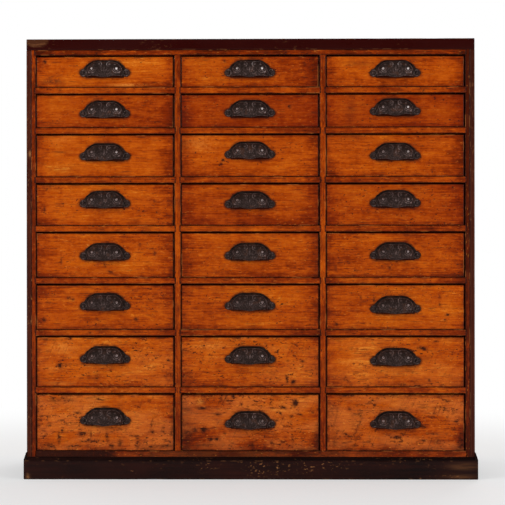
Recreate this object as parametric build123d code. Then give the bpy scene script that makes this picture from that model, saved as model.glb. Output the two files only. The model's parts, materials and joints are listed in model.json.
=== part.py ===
from build123d import *
import os
from math import radians, sqrt, tan

# A bank of small drawers from a draper's shop: a dark case on a plinth, an open framework of uprights and
# rails inside it, and one drawer with a cast-iron cup pull in each opening.
# Frame: X to the right as one faces the drawers, Y from front to back, Z up. The origin is on the floor,
# in the middle of the footprint, pulls included. All lengths are millimetres.

# Openings, and the timber around them
column_names = ("left", "middle", "right")
opening_width = 278.0
opening_heights = (64.0, 68.0, 86.0, 85.0, 91.5, 91.5, 102.5, 115.0)  # top row first
upright_thickness = 12.7
lining_thickness = 9.5
rail_thickness = 12.7
rail_depth = 45.0
housing_depth = 3.0
top_rail_thickness = 10.6
runner_width = 14.0

# Case
case_depth = 380.0
side_panel_thickness = 9.5
top_board_thickness = 22.0
bottom_board_thickness = 19.0
case_arris = 1.5
side_quirk_width = 1.4
side_quirk_depth = 1.2

# Back, of vertical lapped boards
back_thickness = 10.0
back_board_count = 6
back_lap = 8.0
back_board_gap = 0.4

# Plinth, and the moulding that covers its ledge
plinth_height = 38.0
plinth_thickness = 19.0
plinth_overhang = 6.0
plinth_block_size = 32.0
plinth_block_drop = 4.0
front_moulding_height = 7.0
side_moulding_height = 16.0
moulding_nose = 1.0

# Nails that hold the back
nail_radius = 1.1
nail_length = 30.0
nail_head_radius = 2.8
nail_head_height = 1.0
nail_inset = 30.0
nail_hole_clearance = 0.05

# Drawers
front_thickness = 18.0
front_recess = 1.0
front_arris = 0.8
drawer_length = 352.0
drawer_side_thickness = 8.0
drawer_side_drop = 1.5
drawer_back_thickness = 8.0
drawer_back_drop = 3.0
drawer_bottom_thickness = 5.0
drawer_bottom_height = 7.0
drawer_groove_depth = 4.0
left_gap = 1.0
right_gap = 2.2
top_gap = 2.8
running_gap = 0.2
tail_length = 12.0
tail_counts = (2, 2, 3, 3, 3, 3, 4, 4)  # top row first
tail_tip_share = 0.36
tail_slope = 8.0  # degrees

# Stops, one glued behind each drawer front
stop_width = 40.0
stop_depth = 22.0
stop_height = 5.0
stop_gap = 0.3

# Cup pulls
cup_half_length = 37.0
cup_radius = 23.4
cup_set_back = 1.4
cup_centre_height = 9.4
cup_wall = 2.5
lip_sag = 3.0
flange_thickness = 2.2
flange_rim = 2.2
ear_radius = 7.8
ear_centre_x = 42.8
ear_centre_z = 9.8
boss_radius = 5.5
boss_sink = 4.0
boss_x = 24.0
boss_z = 15.5

# Round-head screws of the pulls
screw_radius = 1.7
screw_length = 14.0
screw_clearance = 0.05
screw_head_radius = 3.7
screw_head_height = 2.1
screw_slot_width = 0.8
screw_slot_depth = 0.9

# How far down each drawer front the middle of its pull sits, as a share of the front's height:
# they were fitted by eye, and no two rows agree. Top row first, left to right.
pull_drop_shares = (
    (0.395, 0.40, 0.42),
    (0.445, 0.435, 0.39),
    (0.405, 0.37, 0.405),
    (0.365, 0.385, 0.36),
    (0.42, 0.42, 0.41),
    (0.375, 0.375, 0.445),
    (0.355, 0.36, 0.395),
    (0.39, 0.45, 0.45),
)

# How far a cutting tool runs past what it cuts
overrun = 2.0

# Places that follow from the sizes above
column_pitch = opening_width + upright_thickness
inner_width = len(column_names) * column_pitch - upright_thickness
case_width = inner_width + 2 * (lining_thickness + side_panel_thickness)
cup_depth = cup_radius - cup_set_back
front_y = (cup_depth - front_recess - case_depth) / 2
rear_y = front_y + case_depth
back_inner_y = rear_y - back_thickness
floor_z = plinth_height + bottom_board_thickness
framework_height = sum(opening_heights) + (len(opening_heights) - 1) * rail_thickness
top_rail_z = floor_z + framework_height
top_board_z = top_rail_z + top_rail_thickness
case_height = top_board_z + top_board_thickness

column_x = []
for column in range(len(column_names)):
    column_x.append((column - (len(column_names) - 1) / 2) * column_pitch)

opening_z = []  # the floor of each row's openings, top row first
next_z = top_rail_z
for height in opening_heights:
    opening_z.append(next_z - height)
    next_z = next_z - height - rail_thickness


def block(low, high):
    """A square-edged piece of timber between two opposite corners."""
    size = [b - a for a, b in zip(low, high)]
    centre = [(a + b) / 2 for a, b in zip(low, high)]
    return Pos(*centre) * Box(*size)


def prism(plane, points, height):
    """An outline drawn on a plane, carried straight along the plane's normal."""
    outline = Polyline(*points, close=True)
    return extrude(plane * make_face(outline), amount=height)


def cylinder_y(x, z, low_y, high_y, radius):
    """A round bar that runs from front to back."""
    turned = Rot(90, 0, 0) * Cylinder(radius, high_y - low_y)
    return Pos(x, (low_y + high_y) / 2, z) * turned


def save(node, solids):
    """Write one node, a single solid or a group of separate ones."""
    shape = solids[0] if len(solids) == 1 else Compound(children=list(solids))
    export_step(shape, f"parts/{node}.step")


# Case
def top_board():
    """The top, full width over both side panels, with the edges of its front eased."""
    half = case_width / 2
    board = block((-half, front_y, top_board_z), (half, rear_y, case_height))
    return chamfer(board.faces().sort_by(Axis.Y)[0].edges(), case_arris)


def side_panel(side):
    """A side of the case, with a scratched quirk down the middle of its front edge."""
    outer = side * case_width / 2
    inner = side * (case_width / 2 - side_panel_thickness)
    low_x, high_x = sorted((outer, inner))
    panel = block((low_x, front_y, plinth_height), (high_x, rear_y, top_board_z))
    middle = (low_x + high_x) / 2
    half = side_quirk_width / 2
    section = [
        (middle - half, front_y),
        (middle + half, front_y),
        (middle, front_y + side_quirk_depth),
    ]
    lifted = Plane.XY.offset(plinth_height)
    return panel - prism(lifted, section, top_board_z - plinth_height)


def bottom_board():
    """The board that carries the framework. Its front edge shows as the lowest rail."""
    half = inner_width / 2 + housing_depth
    board = block((-half, front_y, plinth_height), (half, back_inner_y, floor_z))
    return board - [nail_hole(x, z) for x, z in nail_places() if z < floor_z]


# Framework
def drawer_rails():
    """A short rail under every opening but the lowest row's, and the long rails below the top board."""
    rails = []
    for z in opening_z[:-1]:
        for x in column_x:
            half = opening_width / 2 + housing_depth
            low = (x - half, front_y, z - rail_thickness)
            rails.append(block(low, (x + half, front_y + rail_depth, z)))
    half = inner_width / 2 + housing_depth
    front_rail = block((-half, front_y, top_rail_z), (half, front_y + rail_depth, top_board_z))
    rear_rail = block((-half, back_inner_y - rail_depth, top_rail_z), (half, back_inner_y, top_board_z))
    rear_rail = rear_rail - [nail_hole(x, z) for x, z in nail_places() if z > floor_z]
    return [*rails, front_rail, rear_rail]


def uprights(rails, floor_board):
    """Two dividers between the columns and a lining on each side panel, housed for the rails."""
    boards = []
    for left, right in zip(column_x[:-1], column_x[1:]):
        middle = (left + right) / 2
        half = upright_thickness / 2
        boards.append(block((middle - half, front_y, floor_z), (middle + half, back_inner_y, top_board_z)))
    for side in (-1, 1):
        near = side * inner_width / 2
        far = side * (inner_width / 2 + lining_thickness)
        low_x, high_x = sorted((near, far))
        boards.append(block((low_x, front_y, plinth_height), (high_x, back_inner_y, top_board_z)))
    return [board - [*rails, floor_board] for board in boards]


def drawer_runners():
    """A strip on each side of every opening. A drawer slides on the pair below it, and the pair above
    keeps it from tipping as it comes out."""
    strips = []
    for z in opening_z[:-1]:
        for x in column_x:
            for side in (-1, 1):
                near = x + side * opening_width / 2
                low_x, high_x = sorted((near, near - side * runner_width))
                low = (low_x, front_y + rail_depth, z - rail_thickness)
                strips.append(block(low, (high_x, back_inner_y, z)))
    for x in column_x:
        for side in (-1, 1):
            near = x + side * opening_width / 2
            low_x, high_x = sorted((near, near - side * runner_width))
            low = (low_x, front_y + rail_depth, top_rail_z)
            strips.append(block(low, (high_x, back_inner_y - rail_depth, top_board_z)))
    return strips


def drawer_stops():
    """A small block behind each drawer front, which the front meets when the drawer is home."""
    stops = []
    near_y = front_y + front_recess + front_thickness + stop_gap
    for z in opening_z:
        for x in column_x:
            low = (x - stop_width / 2, near_y, z)
            stops.append(block(low, (x + stop_width / 2, near_y + stop_depth, z + stop_height)))
    return stops


# Back
def nail_places():
    """Two nails at each end of every back board, as (x, z)."""
    width = case_width - 2 * side_panel_thickness
    pitch = width / back_board_count
    rows = (plinth_height + bottom_board_thickness / 2, top_rail_z + top_rail_thickness / 2)
    places = []
    for board in range(back_board_count):
        middle = (board - (back_board_count - 1) / 2) * pitch
        for offset in (nail_inset - pitch / 2, pitch / 2 - nail_inset):
            places += [(middle + offset, z) for z in rows]
    return places


def nail_hole(x, z):
    """The hole that a nail has made, from behind."""
    return cylinder_y(x, z, rear_y - nail_length, rear_y + overrun, nail_radius + nail_hole_clearance)


def back_nails():
    """Flat-headed nails, driven forwards through the back boards."""
    nails = []
    for x, z in nail_places():
        shank = cylinder_y(x, z, rear_y - nail_length, rear_y, nail_radius)
        head = cylinder_y(x, z, rear_y - nail_head_height, rear_y, nail_head_radius)
        nails.append(shank + head)
    return nails


def back_boards():
    """Vertical boards. The rear half of each one's right edge laps over the next board."""
    width = case_width - 2 * side_panel_thickness
    pitch = width / back_board_count
    lap_y = back_inner_y + back_thickness / 2
    holes = [nail_hole(x, z) for x, z in nail_places()]
    for x, z in nail_places():
        holes.append(cylinder_y(x, z, rear_y - nail_head_height, rear_y + overrun, nail_head_radius))
    boards = []
    for number in range(back_board_count):
        low_x = number * pitch - width / 2
        high_x = low_x + pitch
        board = block((low_x, back_inner_y, plinth_height), (high_x, rear_y, top_board_z))
        if number > 0:
            near_gap = (low_x + back_board_gap, lap_y, top_board_z)
            rebate = (low_x + back_lap + back_board_gap, rear_y, top_board_z)
            board = board - block((low_x, back_inner_y, plinth_height), near_gap)
            board = board - block((low_x, lap_y, plinth_height), rebate)
        if number < back_board_count - 1:
            board = board + block((high_x, lap_y, plinth_height), (high_x + back_lap, rear_y, top_board_z))
        boards.append(board - [hole for hole in holes if low_x < hole.center().X < high_x])
    return boards


# Plinth
def plinth_boards():
    """The front board and the two returns, mitred at the corners."""
    half = case_width / 2 + plinth_overhang
    inner = half - plinth_thickness
    near = front_y - plinth_overhang
    mitre_y = near + plinth_thickness
    front = prism(Plane.XY, [(-half, near), (half, near), (inner, mitre_y), (-inner, mitre_y)], plinth_height)
    outline = [(half, near), (half, rear_y), (inner, rear_y), (inner, mitre_y)]
    right_return = prism(Plane.XY, outline, plinth_height)
    return [front, right_return, mirror(right_return, Plane.YZ)]


def plinth_backing():
    """The rail that closes the plinth behind, and the glue blocks in its corners and along its front."""
    inner = case_width / 2 + plinth_overhang - plinth_thickness
    front_inner = front_y - plinth_overhang + plinth_thickness
    rear_inner = rear_y - plinth_thickness
    pieces = [block((-inner, rear_inner, 0), (inner, rear_y, plinth_height))]
    size = plinth_block_size
    for x in (-inner, -size / 2, inner - size):
        for y in (front_inner, rear_inner - size):
            low = (x, y, plinth_block_drop)
            pieces.append(block(low, (x + size, y + size, plinth_height)))
    return pieces


def base_moulding():
    """Chamfered strips on the plinth's ledge: a low one in front, and a taller one along each side."""
    near = front_y - plinth_overhang
    half = case_width / 2
    base = plinth_height
    front = [
        (near, base),
        (front_y, base),
        (front_y, base + front_moulding_height),
        (front_y - moulding_nose, base + front_moulding_height),
        (near, base + moulding_nose),
    ]
    front_strip = prism(Plane.YZ.offset(-half), front, case_width)
    side = [
        (half, base),
        (half + plinth_overhang, base),
        (half + plinth_overhang, base + moulding_nose),
        (half + moulding_nose, base + side_moulding_height),
        (half, base + side_moulding_height),
    ]
    right_strip = prism(Plane.XZ.offset(-rear_y), side, case_depth + plinth_overhang)
    return [front_strip, right_strip, mirror(right_strip, Plane.YZ)]


# Drawers, each drawn about the lower front edge of its front, at the middle of its width
drawer_width = opening_width - left_gap - right_gap


def drawer_height(opening_height):
    return opening_height - top_gap - running_gap


def drawer_side(side, height, tail_count):
    """A drawer side whose front end is cut into dovetails."""
    shoulder = front_thickness
    tip = front_thickness - tail_length
    spacing = height / tail_count
    half_tip = tail_tip_share * spacing
    half_root = half_tip - tail_length * tan(radians(tail_slope))
    outline = [(shoulder, height), (drawer_length, height), (drawer_length, 0), (shoulder, 0)]
    for tail in range(tail_count):
        middle = (tail + 1 / 2) * spacing
        outline += [
            (shoulder, middle - half_root),
            (tip, middle - half_tip),
            (tip, middle + half_tip),
            (shoulder, middle + half_root),
        ]
    outer = side * drawer_width / 2
    inner = side * (drawer_width / 2 - drawer_side_thickness)
    return prism(Plane.YZ.offset(min(outer, inner)), outline, drawer_side_thickness)


def drawer(opening_height, tail_count, drop_share):
    """The front, both sides, the back and the bottom of one drawer, as separate boards."""
    height = drawer_height(opening_height)
    side_height = height - drawer_side_drop
    half = drawer_width / 2
    inner = half - drawer_side_thickness
    panel_half = inner + drawer_groove_depth
    panel_top = drawer_bottom_height + drawer_bottom_thickness
    panel_near = front_thickness - drawer_groove_depth
    bottom = block((-panel_half, panel_near, drawer_bottom_height), (panel_half, drawer_length, panel_top))
    near = drawer_length - drawer_back_thickness
    back = block((-inner, near, panel_top), (inner, drawer_length, side_height - drawer_back_drop))
    sides = [drawer_side(side, side_height, tail_count) for side in (-1, 1)]
    front = block((-half, 0, 0), (half, front_thickness, height))
    front = chamfer(front.faces().sort_by(Axis.Y)[0].edges(), front_arris)
    holes = []
    hole_radius = screw_radius + screw_clearance
    hole_z = pull_base(opening_height, drop_share) + ear_centre_z
    for side in (-1, 1):
        holes.append(cylinder_y(side * ear_centre_x, hole_z, -overrun, screw_length, hole_radius))
    front = front - [*sides, bottom, *holes]
    return [front, *[side - bottom for side in sides], back, bottom]


# Cup pulls, each drawn about the lowest point of its lip, on the face of the drawer
cup_height = cup_centre_height + sqrt(cup_radius**2 - cup_set_back**2) + flange_rim


def pull_base(opening_height, drop_share):
    """How high the lip of a pull is above the lower edge of its drawer front."""
    return drawer_height(opening_height) * (1 - drop_share) - cup_height / 2


def capsule(offset):
    """A round bar with ball ends along X, centred behind the face of the drawer."""
    radius = cup_radius + offset
    length = 2 * (cup_half_length + offset)
    upper = Pos(0, radius / 2) * Rectangle(length, radius)
    whole = revolve(SlotOverall(length, 2 * radius) & upper, Axis.X, 360)
    return Pos(0, cup_set_back, cup_centre_height) * whole


def cup_pull():
    """A cup with a sagging lip, a narrow flange, an ear with a screw hole at each end, and two bosses."""
    reach = cup_half_length + cup_radius
    dome = capsule(0) & block((-reach, -reach, -reach), (reach, 0, reach))
    flange = capsule(flange_rim) & block((-reach, -flange_thickness, -reach), (reach, 0, reach))
    bosses = []
    beyond_spine = boss_x - (cup_half_length - cup_radius)
    above_spine = boss_z - cup_centre_height
    boss_y = cup_set_back - sqrt((cup_radius - boss_sink) ** 2 - beyond_spine**2 - above_spine**2)
    for side in (-1, 1):
        bosses.append(Pos(side * boss_x, boss_y, boss_z) * Sphere(boss_radius))
    lip_radius = (cup_half_length**2 + lip_sag**2) / (2 * lip_sag)
    above_lip = cylinder_y(0, lip_radius, -reach, reach, lip_radius)
    cup = (dome + flange + bosses) & above_lip
    holes = []
    hole_radius = screw_radius + screw_clearance
    for side in (-1, 1):
        x = side * ear_centre_x
        cup = cup + cylinder_y(x, ear_centre_z, -flange_thickness, 0, ear_radius)
        holes.append(cylinder_y(x, ear_centre_z, -flange_thickness - overrun, overrun, hole_radius))
    return cup - [capsule(-cup_wall), *holes]


def pull_screw(side):
    """A slotted round-head screw, through an ear and into the drawer front."""
    shank = cylinder_y(0, 0, -flange_thickness, screw_length, screw_radius)
    cap_radius = (screw_head_radius**2 + screw_head_height**2) / (2 * screw_head_height)
    ball = Pos(0, cap_radius - screw_head_height - flange_thickness, 0) * Sphere(cap_radius)
    around = cylinder_y(0, 0, -flange_thickness - screw_head_height, -flange_thickness, screw_head_radius)
    slot_floor = screw_slot_depth - flange_thickness - screw_head_height
    low = (-screw_head_radius, -flange_thickness - screw_head_height - overrun, -screw_slot_width / 2)
    slot = block(low, (screw_head_radius, slot_floor, screw_slot_width / 2))
    return Pos(side * ear_centre_x, 0, ear_centre_z) * (shank + (ball & around) - slot)


def build():
    """Make every node and write it."""
    os.makedirs("parts", exist_ok=True)
    rails = drawer_rails()
    floor_board = bottom_board()
    save("top_board", [top_board()])
    save("left_side_panel", [side_panel(-1)])
    save("right_side_panel", [side_panel(1)])
    save("bottom_board", [floor_board])
    save("uprights", uprights(rails, floor_board))
    save("drawer_rails", rails)
    save("runners_and_stops", [*drawer_runners(), *drawer_stops()])
    save("back_boards", back_boards())
    save("back_nails", back_nails())
    save("plinth_boards", plinth_boards())
    save("plinth_backing", plinth_backing())
    save("base_moulding", base_moulding())
    pull = [cup_pull(), pull_screw(-1), pull_screw(1)]
    face_y = front_y + front_recess
    for row, opening_height in enumerate(opening_heights):
        for column, column_name in enumerate(column_names):
            share = pull_drop_shares[row][column]
            place = (column_x[column] + (left_gap - right_gap) / 2, face_y, opening_z[row] + running_gap)
            boards = [Pos(*place) * board for board in drawer(opening_height, tail_counts[row], share)]
            save(f"drawer_{row + 1}_{column_name}", boards)
            lift = Pos(0, 0, pull_base(opening_height, share))
            save(f"cup_pull_{row + 1}_{column_name}", [Pos(*place) * lift * piece for piece in pull])


build()
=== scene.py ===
# %% [markdown]
# # A haberdasher's bank of drawers
# The cabinet stood in a draper's shop and held ribbon, buttons and thread. Its case is stained nearly black,
# its drawers are shellacked an orange brown, and each drawer has a cup pull of black cast iron.
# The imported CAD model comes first: it is the frame that every piece here is fitted to and moves with.

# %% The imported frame
import json
from math import pi, radians

import bmesh
import bpy
import numpy as np
from mathutils import Matrix, Vector

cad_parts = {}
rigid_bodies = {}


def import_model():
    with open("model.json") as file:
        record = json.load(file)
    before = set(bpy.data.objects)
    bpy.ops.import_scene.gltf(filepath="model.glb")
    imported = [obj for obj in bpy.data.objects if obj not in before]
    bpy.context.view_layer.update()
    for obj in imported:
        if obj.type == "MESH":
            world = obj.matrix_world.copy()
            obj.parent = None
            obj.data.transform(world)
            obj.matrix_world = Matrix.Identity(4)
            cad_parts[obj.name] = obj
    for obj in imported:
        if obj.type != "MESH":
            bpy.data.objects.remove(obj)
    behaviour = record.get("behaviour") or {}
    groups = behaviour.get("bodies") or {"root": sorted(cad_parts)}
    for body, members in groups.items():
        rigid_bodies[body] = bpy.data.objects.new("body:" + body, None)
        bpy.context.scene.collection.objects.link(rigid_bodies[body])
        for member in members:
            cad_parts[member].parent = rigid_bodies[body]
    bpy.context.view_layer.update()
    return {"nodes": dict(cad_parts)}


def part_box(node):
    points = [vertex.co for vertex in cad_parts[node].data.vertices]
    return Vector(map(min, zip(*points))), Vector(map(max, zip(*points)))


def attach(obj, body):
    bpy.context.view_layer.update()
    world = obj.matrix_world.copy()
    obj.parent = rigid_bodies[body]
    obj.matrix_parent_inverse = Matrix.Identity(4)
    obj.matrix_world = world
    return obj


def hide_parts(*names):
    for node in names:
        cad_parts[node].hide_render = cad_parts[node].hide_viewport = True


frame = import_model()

MM = 0.001

# %% [markdown]
# ## Camera
# The photograph was taken from straight in front, about four metres away and at the height of the middle of
# the cabinet. The camera's place, turn and lens were worked out by least squares from the corners of the
# openings, so that they fall where they do in the photograph.

# %% Camera
PHOTO_SIZE = 505
CAMERA_PLACE = (0.0721, -4.179, 0.4628)
CAMERA_YAW, CAMERA_PITCH, CAMERA_ROLL = radians(0.969), radians(-0.126), radians(0.061)
FOCAL_PIXELS = 1998.1
SENSOR_WIDTH = 36.0

camera = bpy.data.objects.new("camera", bpy.data.cameras.new("camera"))
camera.data.sensor_width = SENSOR_WIDTH
camera.data.lens = FOCAL_PIXELS * SENSOR_WIDTH / PHOTO_SIZE
camera.matrix_world = (
    Matrix.Translation(CAMERA_PLACE)
    @ Matrix.Rotation(CAMERA_YAW, 4, "Z")
    @ Matrix.Rotation(pi / 2 + CAMERA_PITCH, 4, "X")
    @ Matrix.Rotation(-CAMERA_ROLL, 4, "Z")
)
bpy.context.scene.collection.objects.link(camera)
bpy.context.scene.camera = camera
print("camera: lens", round(camera.data.lens, 1), "mm")

# %% [markdown]
# ## Shader maths
# A material is a net of nodes. To write it as sums, a small class wraps an output socket: adding or
# multiplying two of them puts a Math node in the net. Every other node comes from one method, `node`, which
# sets the node's settings first and then its sockets.


# %% A colour as it is written
def colour(red, green, blue):
    """A colour as it is written for the screen, 0 to 255, turned into the linear light that nodes expect: a
    low share is divided, and any other is raised to a power, as the screen does. It is opaque."""
    share = np.array([red, green, blue]) / 255
    linear = np.where(share <= 0.04045, share / 12.92, ((share + 0.055) / 1.055) ** 2.4)
    return (*linear.tolist(), 1.0)


print("half of the screen's white is", round(colour(128, 128, 128)[0], 3), "of its light")


# %% A socket that can be added and multiplied
class Wire:
    """An output socket in a material's net. Arithmetic on wires adds Math nodes."""

    def __init__(self, tree, socket=None):
        self.tree = tree
        self.socket = socket

    def node(self, kind, settings=None, inputs=None, output=0):
        """A new node: its settings, then a value or a wire for each named or numbered socket. The stops of a
        ramp, each a place and a colour, are one of its settings."""
        new = self.tree.nodes.new(kind)
        for name, value in (settings or {}).items():
            if name == "stops":
                elements = new.color_ramp.elements
                for place, shade in value[len(elements):]:
                    elements.new(place)
                for stop, (place, shade) in zip(elements, value):
                    stop.position = place
                    stop.color = colour(*shade)
            else:
                setattr(new, name, value)
        for name, value in (inputs or {}).items():
            if isinstance(value, Wire):
                self.tree.links.new(value.socket, new.inputs[name])
            else:
                new.inputs[name].default_value = value
        return Wire(self.tree, new.outputs[output])

    def maths(self, operation, *values):
        """A Math node, for values or wires."""
        return self.node("ShaderNodeMath", {"operation": operation}, dict(enumerate(values)))

    def __add__(self, other):
        return self.maths("ADD", self, other)

    def __sub__(self, other):
        return self.maths("SUBTRACT", self, other)

    def __rsub__(self, other):
        return self.maths("SUBTRACT", other, self)

    def __mul__(self, other):
        return self.maths("MULTIPLY", self, other)

    __radd__ = __add__
    __rmul__ = __mul__

    def most(self, other):
        """The larger of two values."""
        return self.maths("MAXIMUM", self, other)

    def least(self, other):
        """The smaller of two values."""
        return self.maths("MINIMUM", self, other)

    def swing(self, weight):
        """How far a noise is from its middle, times a weight."""
        return (self - 0.5) * weight

    def between(self, start, end):
        """0 up to the start, 1 past the end, and a smooth slope between. The end may be the lower one."""
        inputs = {"Value": self, "From Min": start, "From Max": end}
        return self.node("ShaderNodeMapRange", {"interpolation_type": "SMOOTHSTEP"}, inputs)

    def attribute(self, name, output="Fac"):
        """A number or a vector that the mesh carries at its vertices."""
        return self.node("ShaderNodeAttribute", {"attribute_name": name}, {}, output)

    def part(self, axis):
        """One number of a vector: its X, Y or Z."""
        return self.node("ShaderNodeSeparateXYZ", {}, {0: self}, axis)

    def stretch(self, scale, shift=(0, 0, 0)):
        """The same place, with each direction scaled and shifted by its own amount."""
        return self.node("ShaderNodeMapping", {}, {"Vector": self, "Scale": scale, "Location": shift})

    def turned(self, angle):
        """The same place, turned about the second axis, which on a board's front is from side to side."""
        return self.node("ShaderNodeMapping", {}, {"Vector": self, "Rotation": (0, angle, 0)})

    def noise(self, detail=2.0, roughness=0.5, distortion=0.0):
        """Cloudy noise from 0 to 1, mostly near the middle, at this place."""
        shape = {"Scale": 1.0, "Detail": detail, "Roughness": roughness, "Distortion": distortion}
        return self.node("ShaderNodeTexNoise", {}, {"Vector": self, **shape})

    def paint(self, under, over):
        """A colour laid over another, as thickly as this value says. The one below may be a wire."""
        under = under if isinstance(under, Wire) else colour(*under)
        return self.node("ShaderNodeMix", {"data_type": "RGBA"}, {0: self, 6: under, 7: colour(*over)}, 2)

    def ramp(self, stops):
        """A colour from a row of stops."""
        return self.node("ShaderNodeValToRGB", {"stops": stops}, {"Fac": self})


# %% Materials from wires
def new_material(name, shine=0.5):
    """An empty material with a principled shader, and a wire to start its net from. shine is the specular
    level: 0.5 is a new varnish, and less is one that is worn or dusty."""
    material = bpy.data.materials.new(name)
    material.use_nodes = True
    shader = material.node_tree.nodes["Principled BSDF"]
    shader.inputs["Specular IOR Level"].default_value = shine
    return material, shader, Wire(material.node_tree)


def connect(shader, **links):
    """Lead wires into the shader: colour, roughness, metal and relief (the height for a bump, in metres)."""
    names = {"colour": "Base Color", "roughness": "Roughness", "metal": "Metallic"}
    for key, wire in links.items():
        if key == "relief":
            bump = wire.node("ShaderNodeBump", {}, {"Height": wire, "Strength": 1.0, "Distance": 1.0})
            wire.tree.links.new(bump.socket, shader.inputs["Normal"])
        else:
            wire.tree.links.new(wire.socket, shader.inputs[names[key]])


def board_wires(start):
    """What the finish of a board reads: the place in the grain, and how light, red and knocked about it is."""
    look = start.attribute("look", "Vector")
    return start.attribute("grain", "Vector"), *(look.part(axis) for axis in "XYZ")


# %% [markdown]
# ## Shellacked wood
# The drawers and the framework are softwood, stained orange brown and shellacked, then handled for a
# century. Straight grain runs along every board. Grime has gathered along the edges and round the pulls,
# and a painted shade darkens the line along each arris and the wood hard by each pull. Knocks have gone
# black, and the shellac has worn pale on some corners.
# A picture of wood could be wrapped round a board, but it would repeat, and show no end grain. So the wood is
# a solid pattern instead: noises stretched along the grain, which every face cuts where it happens to lie.
# The numbers in `stretch` say how fine a noise is: how many of its patches fit in a metre, along the grain and
# across it. A second triple only moves the noise away, so that no two noises are alike. Most of a noise lies
# between 0.3 and 0.7, so `between(0.69, 0.71)` picks a few small spots with crisp edges.
# Each mesh carries what the pattern needs at its vertices. `grain` is the place on the board, with the first
# number along the grain. `rim` is the distance to the nearest arris. `look` holds three numbers for the
# board: how light it is, how red, and how knocked about. `stain` marks single knots and smudges, and on the
# bottom board a painted shadow, and `halo` is the distance to the pull.

# %% Shellacked wood: its colours
SHELLAC_TONES = (
    (0.0, (66, 17, 2)),
    (0.28, (124, 39, 1)),
    (0.5, (166, 66, 2)),
    (0.75, (189, 88, 6)),
    (1.0, (216, 126, 36)),
)
RED_SHELLAC, FADED_SHELLAC = (120, 27, 2), (200, 112, 52)
WORN_EDGE, RUBBED_PLACE = (206, 126, 60), (228, 138, 52)
# The edge line is dirt and a painted shade along each arris. The near black is dirt, and also the painted shade
# round each pull and the painted shadow on the bottom board.
EDGE_GRIME, EDGE_DIRT_AND_SHADE_LINE, BLACK_DIRT_AND_SHADE = (70, 22, 5), (30, 10, 5), (40, 11, 4)


# %% Shellacked wood: how light a place is
def shellac_tone(grain, light):
    """The board's own lightness, and eight noises, each less its middle and times a weight. They go from zones
    as wide as a hand down to single fibres. Pale flames are added where the clouds are light. Returns the
    tone, about 0.5, and the four noises that are read again."""
    clouds = grain.stretch((9, 26, 26)).noise(3, 0.6)
    bands = grain.stretch((3.5, 210, 210)).noise(3, 0.6, 0.6)
    lines = grain.stretch((22, 560, 560), (3, 1, 7)).noise(2, 0.5)
    fibres = grain.stretch((60, 1700, 1700)).noise(1, 0.5)
    mottle = grain.stretch((120, 330, 330), (7, 1, 3)).noise(2)
    blotches = grain.stretch((40, 75, 75), (1, 5, 2)).noise(4, 0.65)
    flames = grain.stretch((30, 110, 110), (8, 2, 4)).noise(4, 0.7, 1.2)
    zones = grain.stretch((5, 13, 13), (2, 2, 6)).noise(2)
    strokes = grain.stretch((130, 30, 30), (3, 9, 9)).noise(2)
    tone = 0.5 + zones.swing(0.35) + clouds.swing(0.6) + bands.swing(0.42) + lines.swing(0.5)
    tone = tone + fibres.swing(0.3) + mottle.swing(0.37) + blotches.swing(0.55) + strokes.swing(0.15) + light
    tone = tone + flames.between(0.56, 0.64) * clouds.between(0.48, 0.60) * 0.15
    return tone, clouds, bands, lines, blotches


# %% Shellacked wood: its edges
def aged_edges(shade, grain, rim, knocked, patches):
    """Three coats by the distance to an arris: pale where it is worn, grime beside it in patches, and a dark
    line along it, which is dirt and a painted shade of the gap beside the board. Returns the colour, and how
    worn the place is."""
    worn = grain.stretch((22, 22, 22), (4, 4, 4)).noise(3).between(0.59, 0.66)
    worn = rim.between(2.2 * MM, 0.2 * MM) * worn
    shade = (worn * 0.5).paint(shade, WORN_EDGE)
    grime = rim.between(10 * MM, 0.0) * patches.between(0.42, 0.60) * (0.25 + knocked * 0.5)
    shade = (grime * (1 - worn)).paint(shade, EDGE_GRIME)
    # A dark line right along the arris: dirt, and a painted shade of the gap beside the board.
    line = rim.between(1.9 * MM, 0.8 * MM) * (1 - worn * 0.6) * 0.75
    return line.paint(shade, EDGE_DIRT_AND_SHADE_LINE), worn


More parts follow.
